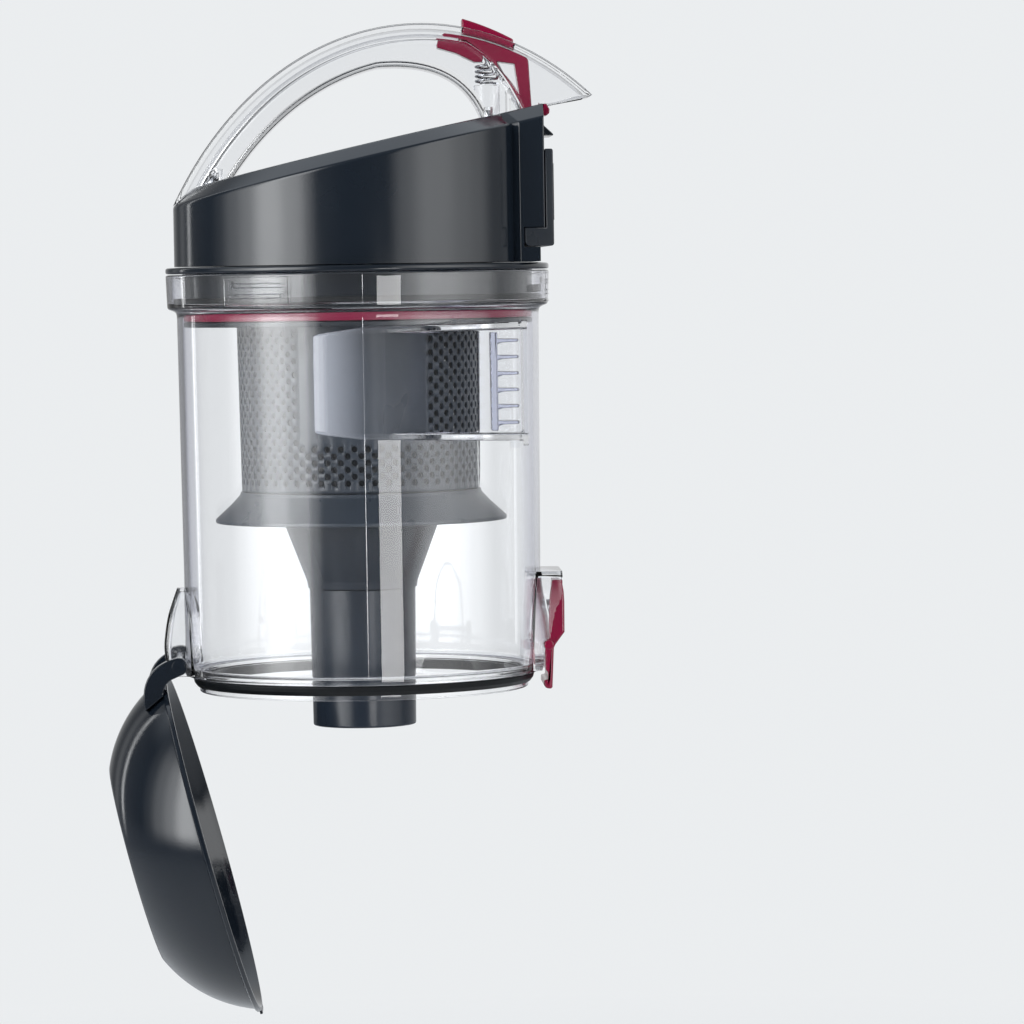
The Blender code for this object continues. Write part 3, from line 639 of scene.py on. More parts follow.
CLEAR_HANDLE = clear_plastic("clear_handle", (0.99, 0.992, 0.997), (0.20, 0.22, 0.30), start=0.22, ior=1.42)
CLEAR_COMB = clear_plastic("clear_comb", (0.72, 0.74, 0.88), (0.25, 0.26, 0.46), start=0.2)
CLEAR_DUCT = clear_plastic("clear_duct", (0.97, 0.975, 0.99), (0.24, 0.24, 0.42), start=0.35,
                           haze=(DUCT_LEFT * MM, 3.0 * MM, 0.42))


# --- Bin ---

def pocket(side, levels, wall, open_front):
    """A hollow bump on the bin's wall. Levels are (z, reach in X, half width outside, half width at wall)."""
    root = SPIGOT_RADIUS + 1.2

    def ring(z, reach, outer, inner, start, corner):
        bent = rounded([(start, -inner), (reach, -outer), (reach, outer), (start, inner)],
                       {1: corner, 2: corner}, 5)
        return [(side * x, y, z) for x, y in bent]

    levels = smooth_levels(levels, 4)
    body = loft([ring(z, reach, outer, inner, root, 3.0) for z, reach, outer, inner in levels])
    hollow = []
    for z, reach, outer, inner in levels:
        if z > levels[-1][0] - wall:
            break
        depth = reach + 20.0 if open_front else reach - wall
        hollow.append(ring(z, depth, max(outer - wall, 0.8), max(inner - wall, 0.8), root - 5.0, 1.4))
    first, last = hollow[0], hollow[-1]
    hollow[0] = [(x, y, z - 5.0) for x, y, z in first]
    hollow.append([(x * 0.995, y * 0.9, levels[-1][0] - wall) for x, y, z in last])
    return cut(body, loft(hollow))


def hinge_pocket():
    """The bump over the lid's two arms, with the pin's hole."""
    levels = [(0.0, 78.0, 19.0, 23.4), (2.2, 78.7, 19.0, 23.0), (7.0, 79.7, 19.0, 21.6),
              (13.5, 80.0, 18.8, 20.0), (23.2, 78.6, 17.0, 18.0), (29.5, 76.7, 11.0, 12.5),
              (34.4, 75.0, 3.5, 4.5)]
    body = pocket(-1, levels, 1.8, False)
    return cut(body, axle(PIN_RADIUS + GAP, PIN, -40.0, 40.0))


def latch_guard():
    """The bump that the latch sits in, open towards the finger, with the trunnions' hole."""
    levels = [(0.2, 76.4, 18.5, 31.0), (2.5, 77.7, 18.5, 29.5), (8.2, 77.8, 18.5, 27.5),
              (13.9, 80.5, 18.5, 26.0), (24.0, 80.8, 18.5, 23.5), (33.0, 80.7, 18.5, 20.5),
              (39.4, 80.3, 17.5, 18.5)]
    body = pocket(1, levels, 1.8, True)
    return cut(body, axle(TRUNNION_RADIUS + GAP, LATCH, -40.0, 40.0))


def ridge(angle_span, z_span, radius, wire):
    """A raised rectangle on the collar's outside. angle_span is in degrees."""
    flat = oblong(angle_span, z_span)
    path = []
    for i, (angle, z) in enumerate(flat):
        after = flat[(i + 1) % len(flat)]
        parts = 16 if i % 2 == 0 else 6
        for k in range(parts):
            t = k / parts
            path.append((angle + (after[0] - angle) * t, z + (after[1] - z) * t))
    return tube([(*polar(radius, angle), z) for angle, z in path], wire, 8, closed=True)


def bin_shell():
    """The clear bin: wall, collar, spigot, ramps for the lugs, the inlet's window and the two bumps."""
    wall = BIN_WALL
    profile = [
        (SPIGOT_RADIUS, -5.6), (SPIGOT_RADIUS, -1.0), (71.0, -1.0), (71.7, 0.2),
        (72.1, 43.0), (73.0, 143.0), (73.2, 145.5),
        (COLLAR_RADIUS - 0.2, 147.0), (COLLAR_RADIUS + 0.3, 160.6),
        (COLLAR_INNER_RADIUS, 160.6), (COLLAR_INNER_RADIUS, 148.8),
        (73.2 - wall, 148.8), (73.0 - wall, 143.0),
        (72.1 - wall, 43.0), (71.7 - wall, 1.2), (SPIGOT_RADIUS - 2.0, 1.2),
        (SPIGOT_RADIUS - 2.0, -7.3), (SPIGOT_RADIUS + 0.2, -7.3), (SPIGOT_RADIUS + 0.2, -5.6),
    ]
    corners = {2: 0.5, 3: 0.8, 6: 2.5, 7: 1.4, 8: 0.9, 9: 0.5, 10: 0.5, 11: 1.0, 14: 1.8, 15: 0.6,
               16: 0.6, 17: 0.6}
    body = turned(rounded(profile, corners))
    window = rounded([(-13.0, DUCT_BOTTOM + 4.0), (46.0, DUCT_BOTTOM + 3.0), (46.0, DUCT_TOP - 3.0),
                      (-13.0, DUCT_TOP - 4.0)], 2.0)
    for angle in LUG_ANGLES:
        body = add(body, sector((73.6, COLLAR_INNER_RADIUS + 0.8), (155.6, 158.0), angle, LUG_SPAN))
    body = cut(body, side_prism(window, 20.0, middle=-60.0))
    return add(body, hinge_pocket(), latch_guard())


def seams():
    """Mould parting lines down the front and the back of the bin, and the collar's raised window frames."""
    parts = []
    for angle in (SEAM_ANGLE, SEAM_ANGLE + 180.0):
        line = [(*polar(71.75, angle), 1.2), (*polar(72.1, angle), 43.0), (*polar(73.02, angle), 143.0)]
        parts.append(tube(line, 0.10, 6))
        parts.append(tube([(*polar(COLLAR_RADIUS - 0.05, angle), 148.2),
                           (*polar(COLLAR_RADIUS + 0.22, angle), 159.8)], 0.10, 6))
    for angle in LUG_ANGLES:
        parts.append(ridge((angle - 11.0, angle + 11.0), (148.2, 159.4), COLLAR_RADIUS + 0.05, 0.24))
        parts.append(ridge((angle - 8.5, angle + 8.5), (151.0, 152.6), COLLAR_RADIUS + 0.08, 0.20))
        parts.append(ridge((angle - 8.5, angle + 8.5), (155.2, 156.8), COLLAR_RADIUS + 0.14, 0.20))
    return join(*parts)


def duct_outline():
    """The duct from above: its front wall runs into the bin, with a rounded left end."""
    start = (DUCT_LEFT, -66.0)
    nose = bezier([start, (DUCT_LEFT + 0.1, -71.5), (DUCT_LEFT + 4.0, DUCT_FRONT + 0.1),
                   (DUCT_LEFT + 21.0, DUCT_FRONT)], 12)
    return [start] + nose + [(DUCT_RIGHT, DUCT_FRONT), (DUCT_RIGHT, DUCT_BACK), (DUCT_LEFT, DUCT_BACK)]


def duct_box(outline, height, edge):
    """The duct's form, height tall, lower towards its left end, with rounded long edges."""
    middle = (DUCT_BOTTOM + DUCT_TOP) / 2
    rings = []
    for ring, offset in layers(outline, height / 2, edge, 4):
        pull = DUCT_TAPER if offset > 0 else -DUCT_TAPER
        rings.append([(x, y, middle + offset - pull * max(0.0, 10.0 - x)) for x, y in ring])
    return loft(rings)


def inlet_duct():
    """A hollow box with a flange at its mouth, and two clips on it."""
    outline = duct_outline()
    height = DUCT_TOP - DUCT_BOTTOM
    body = duct_box(outline, height, 1.3)
    face = oblong((DUCT_FRONT - 1.6, DUCT_BACK + 1.6), (DUCT_BOTTOM - 1.8, DUCT_TOP + 0.6), 1.6)
    flange = [[(x, y, z) for y, z in face] for x in (DUCT_RIGHT - 2.0, DUCT_RIGHT)]
    body = add(body, loft(flange))
    for z in (DUCT_BOTTOM - 2.6, DUCT_TOP - 0.6):
        body = add(body, box((DUCT_RIGHT - 7.0, DUCT_RIGHT - 3.4), (DUCT_FRONT - 0.6, DUCT_FRONT + 3.0),
                             (z, z + 3.2)))
    inner = inset(outline, DUCT_WALL)
    inner = [(x + 10.0 if x > DUCT_RIGHT - 5.0 else x, y) for x, y in inner]
    body = cut(body, duct_box(inner, height - 2 * DUCT_WALL, 0.9))
    return cut(body, turned([(0.0, 80.0), (73.5, 80.0), (73.5, 150.0), (0.0, 150.0)]))


def inlet_comb():
    """Six slats on an upright bar, just inside the inlet's mouth."""
    low, high = DUCT_BOTTOM + 4.0, DUCT_TOP - 4.0
    body = side_prism(oblong((50.8, 53.6), (low, high), 0.6), 8.8, 0.5, -62.8)
    pitch = (high - low) / 6
    for i in range(6):
        z = low + pitch * (i + 0.5)
        slat = [(52.0, z - 2.2), (53.8, z - 1.4), (55.4, z - 0.8), (61.5, z - 0.6), (61.9, z),
                (61.5, z + 0.6), (55.4, z + 0.7), (53.8, z + 0.8), (52.0, z + 1.2)]
        body = add(body, side_prism(slat, 8.6, 0.3, -62.8))
    return body


def bin_parts():
    """The bin, its duct and comb, and the small parts fixed to it."""
    put("bin_wall", bin_shell(), "bin", CLEAR, ["bin_shell"])
    put("bin_seams", seams(), "bin", CLEAR)
    put("duct", inlet_duct(), "bin", CLEAR_DUCT, ["inlet_duct"])
    put("comb", inlet_comb(), "bin", CLEAR_COMB, ["inlet_comb"])
    seal = rounded([(SPIGOT_RADIUS + GAP, -5.2), (67.4, -5.2), (68.6, -3.6), (69.0, -1.9), (68.6, -1.3),
                    (SPIGOT_RADIUS + GAP, -1.3)], 0.4)
    put("rim_seal", turned(seal), "bin", RUBBER, ["bottom_seal"])
    put("hinge_pin", axle(PIN_RADIUS, PIN, -28.4, 28.4, 0.3), "bin", STEEL, ["lid_hinge_pin"])
    helix = []
    for i in range(61):
        y, z = polar(3.0, 18.0 * i)
        helix.append((72.6 + 1.2 * i / 60, y, 24.4 + z))
    put("latch_coil", tube(helix, 0.25, 8), "bin", STEEL, ["latch_spring"])


# --- Latch ---

def latch_parts():
    """The lever: pad, arm and tooth in one outline, with its trunnions."""
    outline = [
        (80.0, 35.8), (80.8, 31.0), (81.0, 26.8), (80.9, 14.7), (77.2, 9.8), (76.5, 8.4), (75.7, -7.6),
        (75.0, -8.2), (73.2, -7.9), (72.3, -6.8), (72.3, -4.5), (74.0, -4.5), (74.0, -1.6), (73.0, -0.4),
        (72.9, 6.5), (73.1, 12.0), (73.6, 20.0), (74.6, 29.5), (76.0, 35.8),
    ]
    body = side_prism(rounded(outline, 0.9, 3), LATCH_HALF_WIDTH, 0.9)
    body = join(body, axle(TRUNNION_RADIUS, LATCH, -24.6, 24.6, 0.4))
    put("latch", body, "latch", MAGENTA, ["latch_lever"])


# --- Lid ---

def opened(bm):
    """The closed lid's parts swung down about the hinge pin."""
    pivot = Vector((PIN[0], 0.0, PIN[1]))
    swing = Matrix.Rotation(math.radians(LID_OPEN_ANGLE), 4, "Y")
    bm.transform(Matrix.Translation(pivot) @ swing @ Matrix.Translation(-pivot))
    return bm


def arm_outline():
    """A hinge arm from the side: a round knuckle at the pin, and a hook down to the bowl."""
    x, z = PIN
    knuckle = [(x + dx, z + dz) for dx, dz in (polar(3.6, a) for a in range(0, 181, 12))]
    outside = bezier([(x - 3.6, z), (x - 3.9, z - 9.0), (x + 0.5, z - 17.0), (x + 13.4, z - 17.6)], 12)
    inside = bezier([(x + 9.6, z - 8.9), (x + 5.6, z - 8.4), (x + 4.2, z - 4.0)], 8)
    return knuckle + outside + [(x + 9.6, z - 8.9)] + inside


def lid_bowl():
    """The closed lid's bowl: a flat floor, round sides and a rim."""
    floor = LID_RIM_TOP - LID_DEPTH
    shoulder = LID_RIM_TOP - 2.6
    side = arc_through((LID_FLOOR_RADIUS, floor), (LID_RADIUS - 1.6, shoulder), 55.0, 24)
    outer = [(0.0, floor)] + side + [
        (LID_RADIUS - 1.5, LID_RIM_TOP - 2.2), (LID_RADIUS - 0.5, LID_RIM_TOP - 2.0),
        (LID_RADIUS, LID_RIM_TOP - 1.6), (LID_RADIUS, LID_RIM_TOP - 0.3), (LID_RADIUS - 0.3, LID_RIM_TOP)]
    inner_side = arc_through((LID_FLOOR_RADIUS - 0.6, floor + 2.0), (LID_RADIUS - 3.2, shoulder + 0.2),
                             55.0, 24)
    inner = [(LID_RADIUS - 1.6, LID_RIM_TOP), (LID_RADIUS - 1.8, LID_RIM_TOP - 0.3)]
    inner += inner_side[::-1] + [(0.0, floor + 2.0)]
    return turned(outer + inner)


def lid_parts():
    """The lid with its two arms and tongue, and the pad that closes the fine-dust tube."""
    body = lid_bowl()
    tongue = oblong((LID_RADIUS - 1.3, 72.0), (LID_RIM_TOP - 1.1, LID_RIM_TOP), 0.3)
    parts = [side_prism(tongue, 8.0, 0.2)]
    for side in (-1, 1):
        middle = side * (ARM_INNER + ARM_OUTER) / 2
        parts.append(side_prism(arm_outline(), (ARM_OUTER - ARM_INNER) / 2, 0.5, middle))
        knuckle = side * (ARM_OUTER - 0.1)
        parts.append(axle(2.7, PIN, knuckle - side * 0.5, knuckle + side * 0.25, 0.15))
    body = join(body, *parts)
    put("lid", opened(body), "lid", LID_DARK, ["bottom_lid"])
    low = LID_RIM_TOP - LID_DEPTH + 2.0 + GAP
    top = TUBE_BOTTOM - 0.4
    pad = rounded([(0.0, low), (25.0, low), (24.0, top - 2.0), (23.2, top), (20.0, top), (19.4, top - 0.8),
                   (0.0, top - 0.8)], {1: 0.5, 2: 1.0, 3: 0.5, 4: 0.3, 5: 0.3})
    put("lid_pad", opened(turned(pad, 96)), "lid", RUBBER, ["tube_pad"])


# --- Cyclone unit ---

def screen_radius(z):
    """The screen widens a little towards its top."""
    t = (z - SCREEN_LEVELS[0]) / (SCREEN_LEVELS[1] - SCREEN_LEVELS[0])
    return SCREEN_RADII[0] + (SCREEN_RADII[1] - SCREEN_RADII[0]) * t


def on_screen(bm, angle, z):
    """A vertex on the screen's outside."""
    return bm.verts.new((*polar(screen_radius(z), angle), z))


def sheet(bm, angle, low, high):
    """A plain stretch of a column, in two facets."""
    for a, b in ((angle - HOLE_STEP / 2, angle), (angle, angle + HOLE_STEP / 2)):
        bm.faces.new([on_screen(bm, *place) for place in ((a, low), (b, low), (b, high), (a, high))])


def hole(bm, angle, z):
    """One cell of a column: the faces between its rectangle and its round hole."""
    radius = screen_radius(z)
    rim = [(0.5, 0.0), (0.5, 0.5), (0.5, 1.0), (0.0, 1.0), (-0.5, 1.0), (-0.5, 0.5)]
    rim += [(-u, -v) for u, v in rim]
    outer, inner = [], []
    for u, v in rim:
        outer.append(on_screen(bm, angle + u * HOLE_STEP, z + v * HOLE_PITCH / 2))
        way = Vector((math.radians(u * HOLE_STEP) * radius, v * HOLE_PITCH / 2)).normalized() * HOLE_RADIUS
        inner.append(on_screen(bm, angle + math.degrees(way.x / radius), z + way.y))
    for i in range(len(rim)):
        j = (i + 1) % len(rim)
        bm.faces.new((outer[i], outer[j], inner[j], inner[i]))


def perforated_wall():
    """The screen's sheet: staggered columns of holes, blank towards the inlet."""
    bm = bmesh.new()
    half = HOLE_PITCH / 2
    top = HOLES_BOTTOM + HOLE_ROWS * HOLE_PITCH
    blank_from = HOLES_BOTTOM + BLANK_ROWS_FROM * HOLE_PITCH
    for column in range(HOLE_COLUMNS):
        angle = -180.0 + HOLE_STEP * column
        stagger = column % 2
        start = HOLES_BOTTOM + half * stagger
        for row in range(HOLE_ROWS - stagger):
            z = start + half + HOLE_PITCH * row
            if BLANK_ANGLES[0] < angle < BLANK_ANGLES[1] and z > blank_from:
                sheet(bm, angle, z - half, z)
                sheet(bm, angle, z, z + half)
            else:
                hole(bm, angle, z)
        if stagger:
            sheet(bm, angle, HOLES_BOTTOM, start)
            sheet(bm, angle, top - half, top)
        sheet(bm, angle, SCREEN_LEVELS[0], HOLES_BOTTOM)
        sheet(bm, angle, top, SCREEN_LEVELS[1])
    bmesh.ops.remove_doubles(bm, verts=bm.verts, dist=0.01)
    bmesh.ops.recalc_face_normals(bm, faces=bm.faces)
    return bm


def cyclone_parts():
    """Screen, skirt, cone and tube, round the bin's axis."""
    screen = put("screen", perforated_wall(), "housing", GREY, ["mesh_screen"], sharp=60.0)
    thick = screen.modifiers.new("wall", "SOLIDIFY")
    thick.thickness = 1.3 * MM
    thick.offset = -1.0
    screen.modifiers.move(1, 0)
    put("screen_flange", turned(oblong((47.6, 61.0), (139.9, 141.6), 0.4)), "housing", GREY)
    skirt = [(SKIRT_RADIUS, SKIRT_BOTTOM), (SKIRT_RADIUS, SKIRT_BOTTOM + 1.4), (52.4, 67.8), (48.9, 71.6),
             (48.4, 73.0), (37.4, 73.0), (37.4, 71.2), (47.6, 71.2), (57.2, SKIRT_BOTTOM)]
    put("skirt", turned(rounded(skirt, {0: 0.5, 1: 0.8, 2: 6.0, 3: 2.0, 4: 0.4, 8: 0.4})), "housing", GREY,
        ["dust_skirt"])
    throat = TUBE_RADIUS + 0.7
    cone = [(throat, 33.5), (throat + 0.2, 36.0), (CONE_RADIUS, 73.4), (CONE_RADIUS, 124.0),
            (CONE_RADIUS - 1.8, 124.0), (CONE_RADIUS - 1.8, 73.9), (throat - 1.8, 33.5)]
    put("cone", turned(rounded(cone, {0: 0.4, 1: 10.0, 2: 12.0, 3: 0.5, 4: 0.5})), "housing", CONE_GREY,
        ["cyclone_cone"])
    bore = [(TUBE_RADIUS - 1.9, 33.2), (TUBE_RADIUS - 2.3, TUBE_BOTTOM), (TUBE_RADIUS - 0.6, TUBE_BOTTOM),
            (TUBE_RADIUS, 33.2)]
    put("tube_end", turned(rounded(bore, {0: 0.3, 1: 0.5, 2: 1.6, 3: 0.3})), "housing", CONE_GREY,
        ["dust_tube"])


def rings():
    """The magenta ring and the seals at the bin's top."""
    for name, node, inner, outer, low, high, paint, slot in (
        ("ring", "trim_ring", 58.0, 70.2, 141.9, 145.8, RING_MAGENTA, "magenta_plastic"),
        ("ring_seal", "seal_ring", 61.4, 70.2, 139.6, 141.6, DARK_SATIN, "black_rubber"),
        ("gasket", "collar_gasket", 70.9, 74.3, 149.2, 151.4, RUBBER, "black_rubber"),
    ):
        put(name, turned(oblong((inner, outer), (low, high), 0.4)), "housing", paint, [node])


# --- Housing ---

def footprint(radius, half_width, face, shoulder, count=132):
    """The housing's plan: a circle with a flat docking block at +X that stands a little proud of it."""
    edge = math.degrees(math.asin((half_width - shoulder) / radius))
    outline = [polar(radius, edge + (360 - 2 * edge) * i / count) for i in range(count + 1)]
    x = outline[-1][0] + 2.7
    outline += [(x, -half_width), (face, -half_width), (face, half_width), (x, half_width)]
    last = len(outline)
    return rounded(outline, {last - 4: 0.7, last - 3: 0.7, last - 2: 0.7, last - 1: 0.7}, 4)


def roofed(margin, bottom, lift, profile):
    """The housing's outer form. profile gives (inset, drop below the roof plane) up the chamfer."""
    def plan(d):
        return footprint(HOUSING_RADIUS - margin - d, DOCK_HALF_WIDTH - margin - d, DOCK_FACE - margin, 2.0)

    rings = [[(x, y, bottom) for x, y in plan(0.0)]]
    for d, drop in profile:
        rings.append([(x, y, roof(x) - drop + lift) for x, y in plan(d)])
    return loft(rings)


def outlet_port(start, end):
    """The air outlet's opening, as a block from one x to another."""
    return loft([[(x, y, z) for y, z in oblong(PORT_WIDTH, PORT_HEIGHT, 1.5)] for x in (start, end)])


def housing_cover():
    """The dark shell: hollow, stepped over the docking frame, with the hook's slot, port and catch."""
    edge = [(0.0, 6.6), (0.06, 5.9), (0.35, 5.3), (0.9, 4.8),
            (7.3, 0.62), (7.9, 0.28), (8.5, 0.06), (9.3, 0.0)]
    body = roofed(0.0, HOUSING_BOTTOM, 0.0, edge)
    chamfer = [(0.0, CHAMFER_DROP), (CHAMFER_WIDTH, 0.0)]
    body = cut(body, roofed(HOUSING_WALL, HOUSING_BOTTOM - 5.0, -HOUSING_WALL, chamfer))
    body = cut(body, box((72.4, 90.0), (-60.0, 60.0), (150.0, DOCK_BOTTOM)))
    body = cut(body, box((66.0, 90.0), (-60.0, 60.0), (169.6, DOCK_BOTTOM)))
    body = cut(body, box((63.0, 90.0), (-6.8, 6.8), (218.9, 240.0)))
    body = cut(body, outlet_port(60.0, 90.0))
    catch = [(DOCK_FACE - 1.0, 214.2), (DOCK_FACE + 4.9, 214.2), (DOCK_FACE + 4.9, 214.8),
             (DOCK_FACE, 219.4), (DOCK_FACE - 1.0, 219.4)]
    return join(body, side_prism(rounded(catch, {1: 0.4, 2: 1.2, 3: 0.8}), 16.0, 0.4))


def housing_base():
    """The flange ring and skirt under the cover, with its floor and the bayonet lugs."""
    inner, outer = 68.3, 70.5
    profile = [(50.0, 146.2), (outer, 146.2), (outer, 160.9), (FLANGE_RADIUS, 161.0),
               (FLANGE_RADIUS, 163.4), (74.6, 163.6), (inner, 163.6), (inner, 148.4), (50.0, 148.4)]
    body = turned(rounded(profile, {0: 0.4, 1: 1.0, 2: 0.6, 3: 0.9, 4: 1.1, 5: 0.5, 6: 0.4}))
    lugs = [sector((69.5, 74.2), (152.2, 155.2), angle, LUG_SPAN, edge=0.4) for angle in LUG_ANGLES]
    return join(body, *lugs)


def docking_frame():
    """The plate round the air outlet, hooked under the docking block."""
    face = DOCK_FACE + GAP
    half = 42.3
    outline = [(face, 208.3), (face, DOCK_BOTTOM - GAP), (66.3, DOCK_BOTTOM - GAP), (66.3, 169.9),
               (77.8, 169.9), (77.8, 208.3)]
    body = side_prism(rounded(outline, {0: 0.3, 2: 0.4, 3: 2.2, 4: 1.3, 5: 1.0}), half, 0.5)
    return cut(body, outlet_port(70.0, 90.0))


def housing_parts():
    """The dark shells on the bin."""
    put("cover", housing_cover(), "housing", DARK, ["housing_cover"], sharp=40.0)
    put("base", housing_base(), "housing", DARK, ["housing_base"])
    put("dock_frame", docking_frame(), "housing", DARK_SATIN, ["docking_frame"])


# --- Handle ---

def handle_arc(depth, first, last, steps):
    """Points on the handle's ellipse, depth inside its outer edge, from one angle to another."""
    points = []
    for i in range(steps + 1):
        angle = math.radians(first + (last - first) * i / steps)
        c, s = math.cos(angle), math.sin(angle)
        normal = Vector((c / HANDLE_AXES[0], s / HANDLE_AXES[1])).normalized()
        points.append((HANDLE_CENTRE[0] + HANDLE_AXES[0] * c - normal.x * depth,
                       HANDLE_CENTRE[1] + HANDLE_AXES[1] * s - normal.y * depth))
    return points


def handle_top(x):
    """Height of the handle's outer edge at x."""
    return HANDLE_CENTRE[1] + HANDLE_AXES[1] * math.sqrt(1 - ((x - HANDLE_CENTRE[0]) / HANDLE_AXES[0]) ** 2)


def parting_curve(gap):
    """The line where the two shells meet, gap further out."""
    curve = handle_arc(PARTING_DEPTH - gap, HANDLE_ANGLES[0], 80.0, 48)
    return curve + bezier([curve[-1], (60.5 + gap, 243.5 + gap), (69.2 + gap, 219.0)], 20)


def grip_curve(depth):
    """The grip's underside, depth inside the handle's outer edge."""
    curve = handle_arc(depth, HANDLE_ANGLES[0], 100.0, 40)
    lift = GRIP_DEPTH - depth
    return curve + bezier([curve[-1], (28.0 + lift, 244.0 + lift), (47.0 + lift, 240.0 + lift),
                           (52.5 + lift, 216.0)], 24)


def under_roof():
    """The housing's form, one gap larger, to cut the handle off just above the roof."""
    return roofed(-GAP, 150.0, 0.0, [(0.0, CHAMFER_DROP - GAP), (CHAMFER_WIDTH, -GAP)])


def overhang():
    """What lies outside the roof's low corner and below it."""
    return box((-90.0, -60.0), (-20.0, 20.0), (150.0, roof(-HOUSING_RADIUS) - CHAMFER_DROP + GAP))


def handle_lower():
    """The grip's shell, a channel open upwards, with the spring's post, a rib and the screw bosses."""
    body = side_prism(grip_curve(GRIP_DEPTH) + parting_curve(0.0)[::-1], HANDLE_HALF_WIDTH, 2.6)
    outline = grip_curve(GRIP_DEPTH - 2.6) + [(76.0, 214.0)] + handle_arc(1.0, 60.0, 156.0, 40)
    channel = side_prism(outline, CHANNEL_HALF_WIDTH)
    channel = cut(channel, rod(5.2, (POST_X, 0, 200.0), (POST_X, 0, SPRING[0] - GAP)),
                  rod(2.7, (POST_X, 0, 230.0), (POST_X, 0, SPRING[0] + 2.6)),
                  rod(4.0, (SCREW_LEFT, 0, 170.0), (SCREW_LEFT, 0, 203.0)),
                  box((SCREW_LEFT, -40.0), (-1.0, 1.0), (170.0, 201.0)),
                  box((61.2, 62.6), (-20.0, 20.0), (200.0, 233.0)))
    body = cut(body, channel)
    for x in (SCREW_LEFT, POST_X):
        body = cut(body, rod(1.8, (x, 0, 185.0), (x, 0, roof(x) + 4.6)))
    return cut(body, under_roof(), overhang())


def handle_upper():
    """The handle's cover with the beak, a channel open downwards, with the button's slot."""
    edge = handle_arc(0.0, HANDLE_ANGLES[0], HANDLE_ANGLES[1], 80)
    beak = [(94.2, 229.6), (78.6, 226.9), (74.2, 227.0), (74.2, 219.0)]
    body = side_prism(edge + beak + parting_curve(GAP)[::-1], HANDLE_HALF_WIDTH, 1.5)
    roofline = handle_arc(HANDLE_SKIN, HANDLE_ANGLES[0] + 4, HANDLE_ANGLES[1] + 1.5, 80)
    channel = roofline + [(96.0, 222.0), (60.0, 205.0)] + grip_curve(GRIP_DEPTH)[::-1]
    body = cut(body, side_prism(channel, CHANNEL_HALF_WIDTH))
    slot = plan_prism(oblong((43.3, 64.5), (-7.3, 7.3), 1.5), 246.0, 270.0)
    return cut(body, slot, under_roof(), overhang())


def release_button():
    """The button: it stands 3.6 mm proud of the handle at its left end and 1.6 mm at its right."""
    steps = 16
    xs = [43.6 + 20.6 * i / steps for i in range(steps + 1)]
    top = [(x, handle_top(x) + 3.6 - 2.0 * i / steps) for i, x in enumerate(xs)]
    bottom = [(x, handle_top(x) - 2.8) for x in reversed(xs)]
    return side_prism(rounded(top + bottom, {0: 0.9, steps: 0.9}), 7.0, 0.8)


def release_slider():
    """The slider: a bar along the handle, and an upright down to the hook behind the roof's edge."""
    xs = [36.5 + 33.0 * i / 20 for i in range(21)]
    outline = [(33.2, 253.9)] + [(x, handle_top(x) - 3.3) for x in xs]
    outline += [(70.2, 244.6), (71.2, 226.5), (71.2, 225.0), (75.4, 225.0), (75.9, 229.4), (77.4, 227.0),
                (78.5, 225.0), (78.3, 223.4), (77.2, 222.5), (66.8, 222.4), (66.6, 229.4), (64.6, 243.4),
                (58.5, SPRING[1] + GAP), (48.5, SPRING[1] + GAP), (41.0, 248.0), (33.6, 250.2)]
    last = len(outline)
    corners = {22: 1.5, 24: 0.8, 25: 0.4, 26: 0.5, 27: 0.6, 28: 0.6, 29: 0.6, 30: 0.6, 31: 0.6,
               last - 4: 2.0, last - 3: 1.0, last - 2: 3.0}
    return side_prism(rounded(outline, corners, 3), 6.0, 0.5)


def handle_parts():
    """The clear handle with its button, slider and spring."""
    put("handle_inner", handle_lower(), "housing", CLEAR_HANDLE, ["handle_lower"])
    put("handle_outer", handle_upper(), "housing", CLEAR_HANDLE, ["handle_upper"])
    put("button", release_button(), "release", MAGENTA, ["release_button"])
    put("slider", release_slider(), "release", MAGENTA, ["release_slider"])
    wire, turns, parts = 0.45, 4, 24
    rise = (SPRING[1] - SPRING[0] - 2 * wire) / (turns * parts)
    helix = []
    for i in range(turns * parts + 1):
        x, y = polar(4.3, 360.0 / parts * i)
        helix.append((POST_X + x, y, SPRING[0] + wire + rise * i))
    coil = put("spring", tube(helix, wire, 10), "housing", STEEL, ["release_spring"])
    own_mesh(coil)


def repaint():
    """Better materials for the CAD nodes that stay."""
    for names, paint in (
        (("vortex_cap",), CONE_GREY), (("filter_tray", "filter_frame", "outlet_grille"), DARK_SATIN),
        (("outlet_seal",), RUBBER), (("foam_filter",), FOAM), (("pleated_filter",), PAPER),
        (("handle_screw_left", "handle_screw_right"), STEEL),
    ):
        for name in names:
            node = frame["nodes"][name]
            node.data.materials.clear()
            node.data.materials.append(paint)
            soft = node.modifiers.new("soft_edges", "BEVEL")
            soft.width = 0.25 * MM
            soft.segments = 2
            soft.limit_method = "ANGLE"


# --- Studio ---

PALE = (0.83, 0.85, 0.865, 1.0)
SKY_SCALE = 7.8
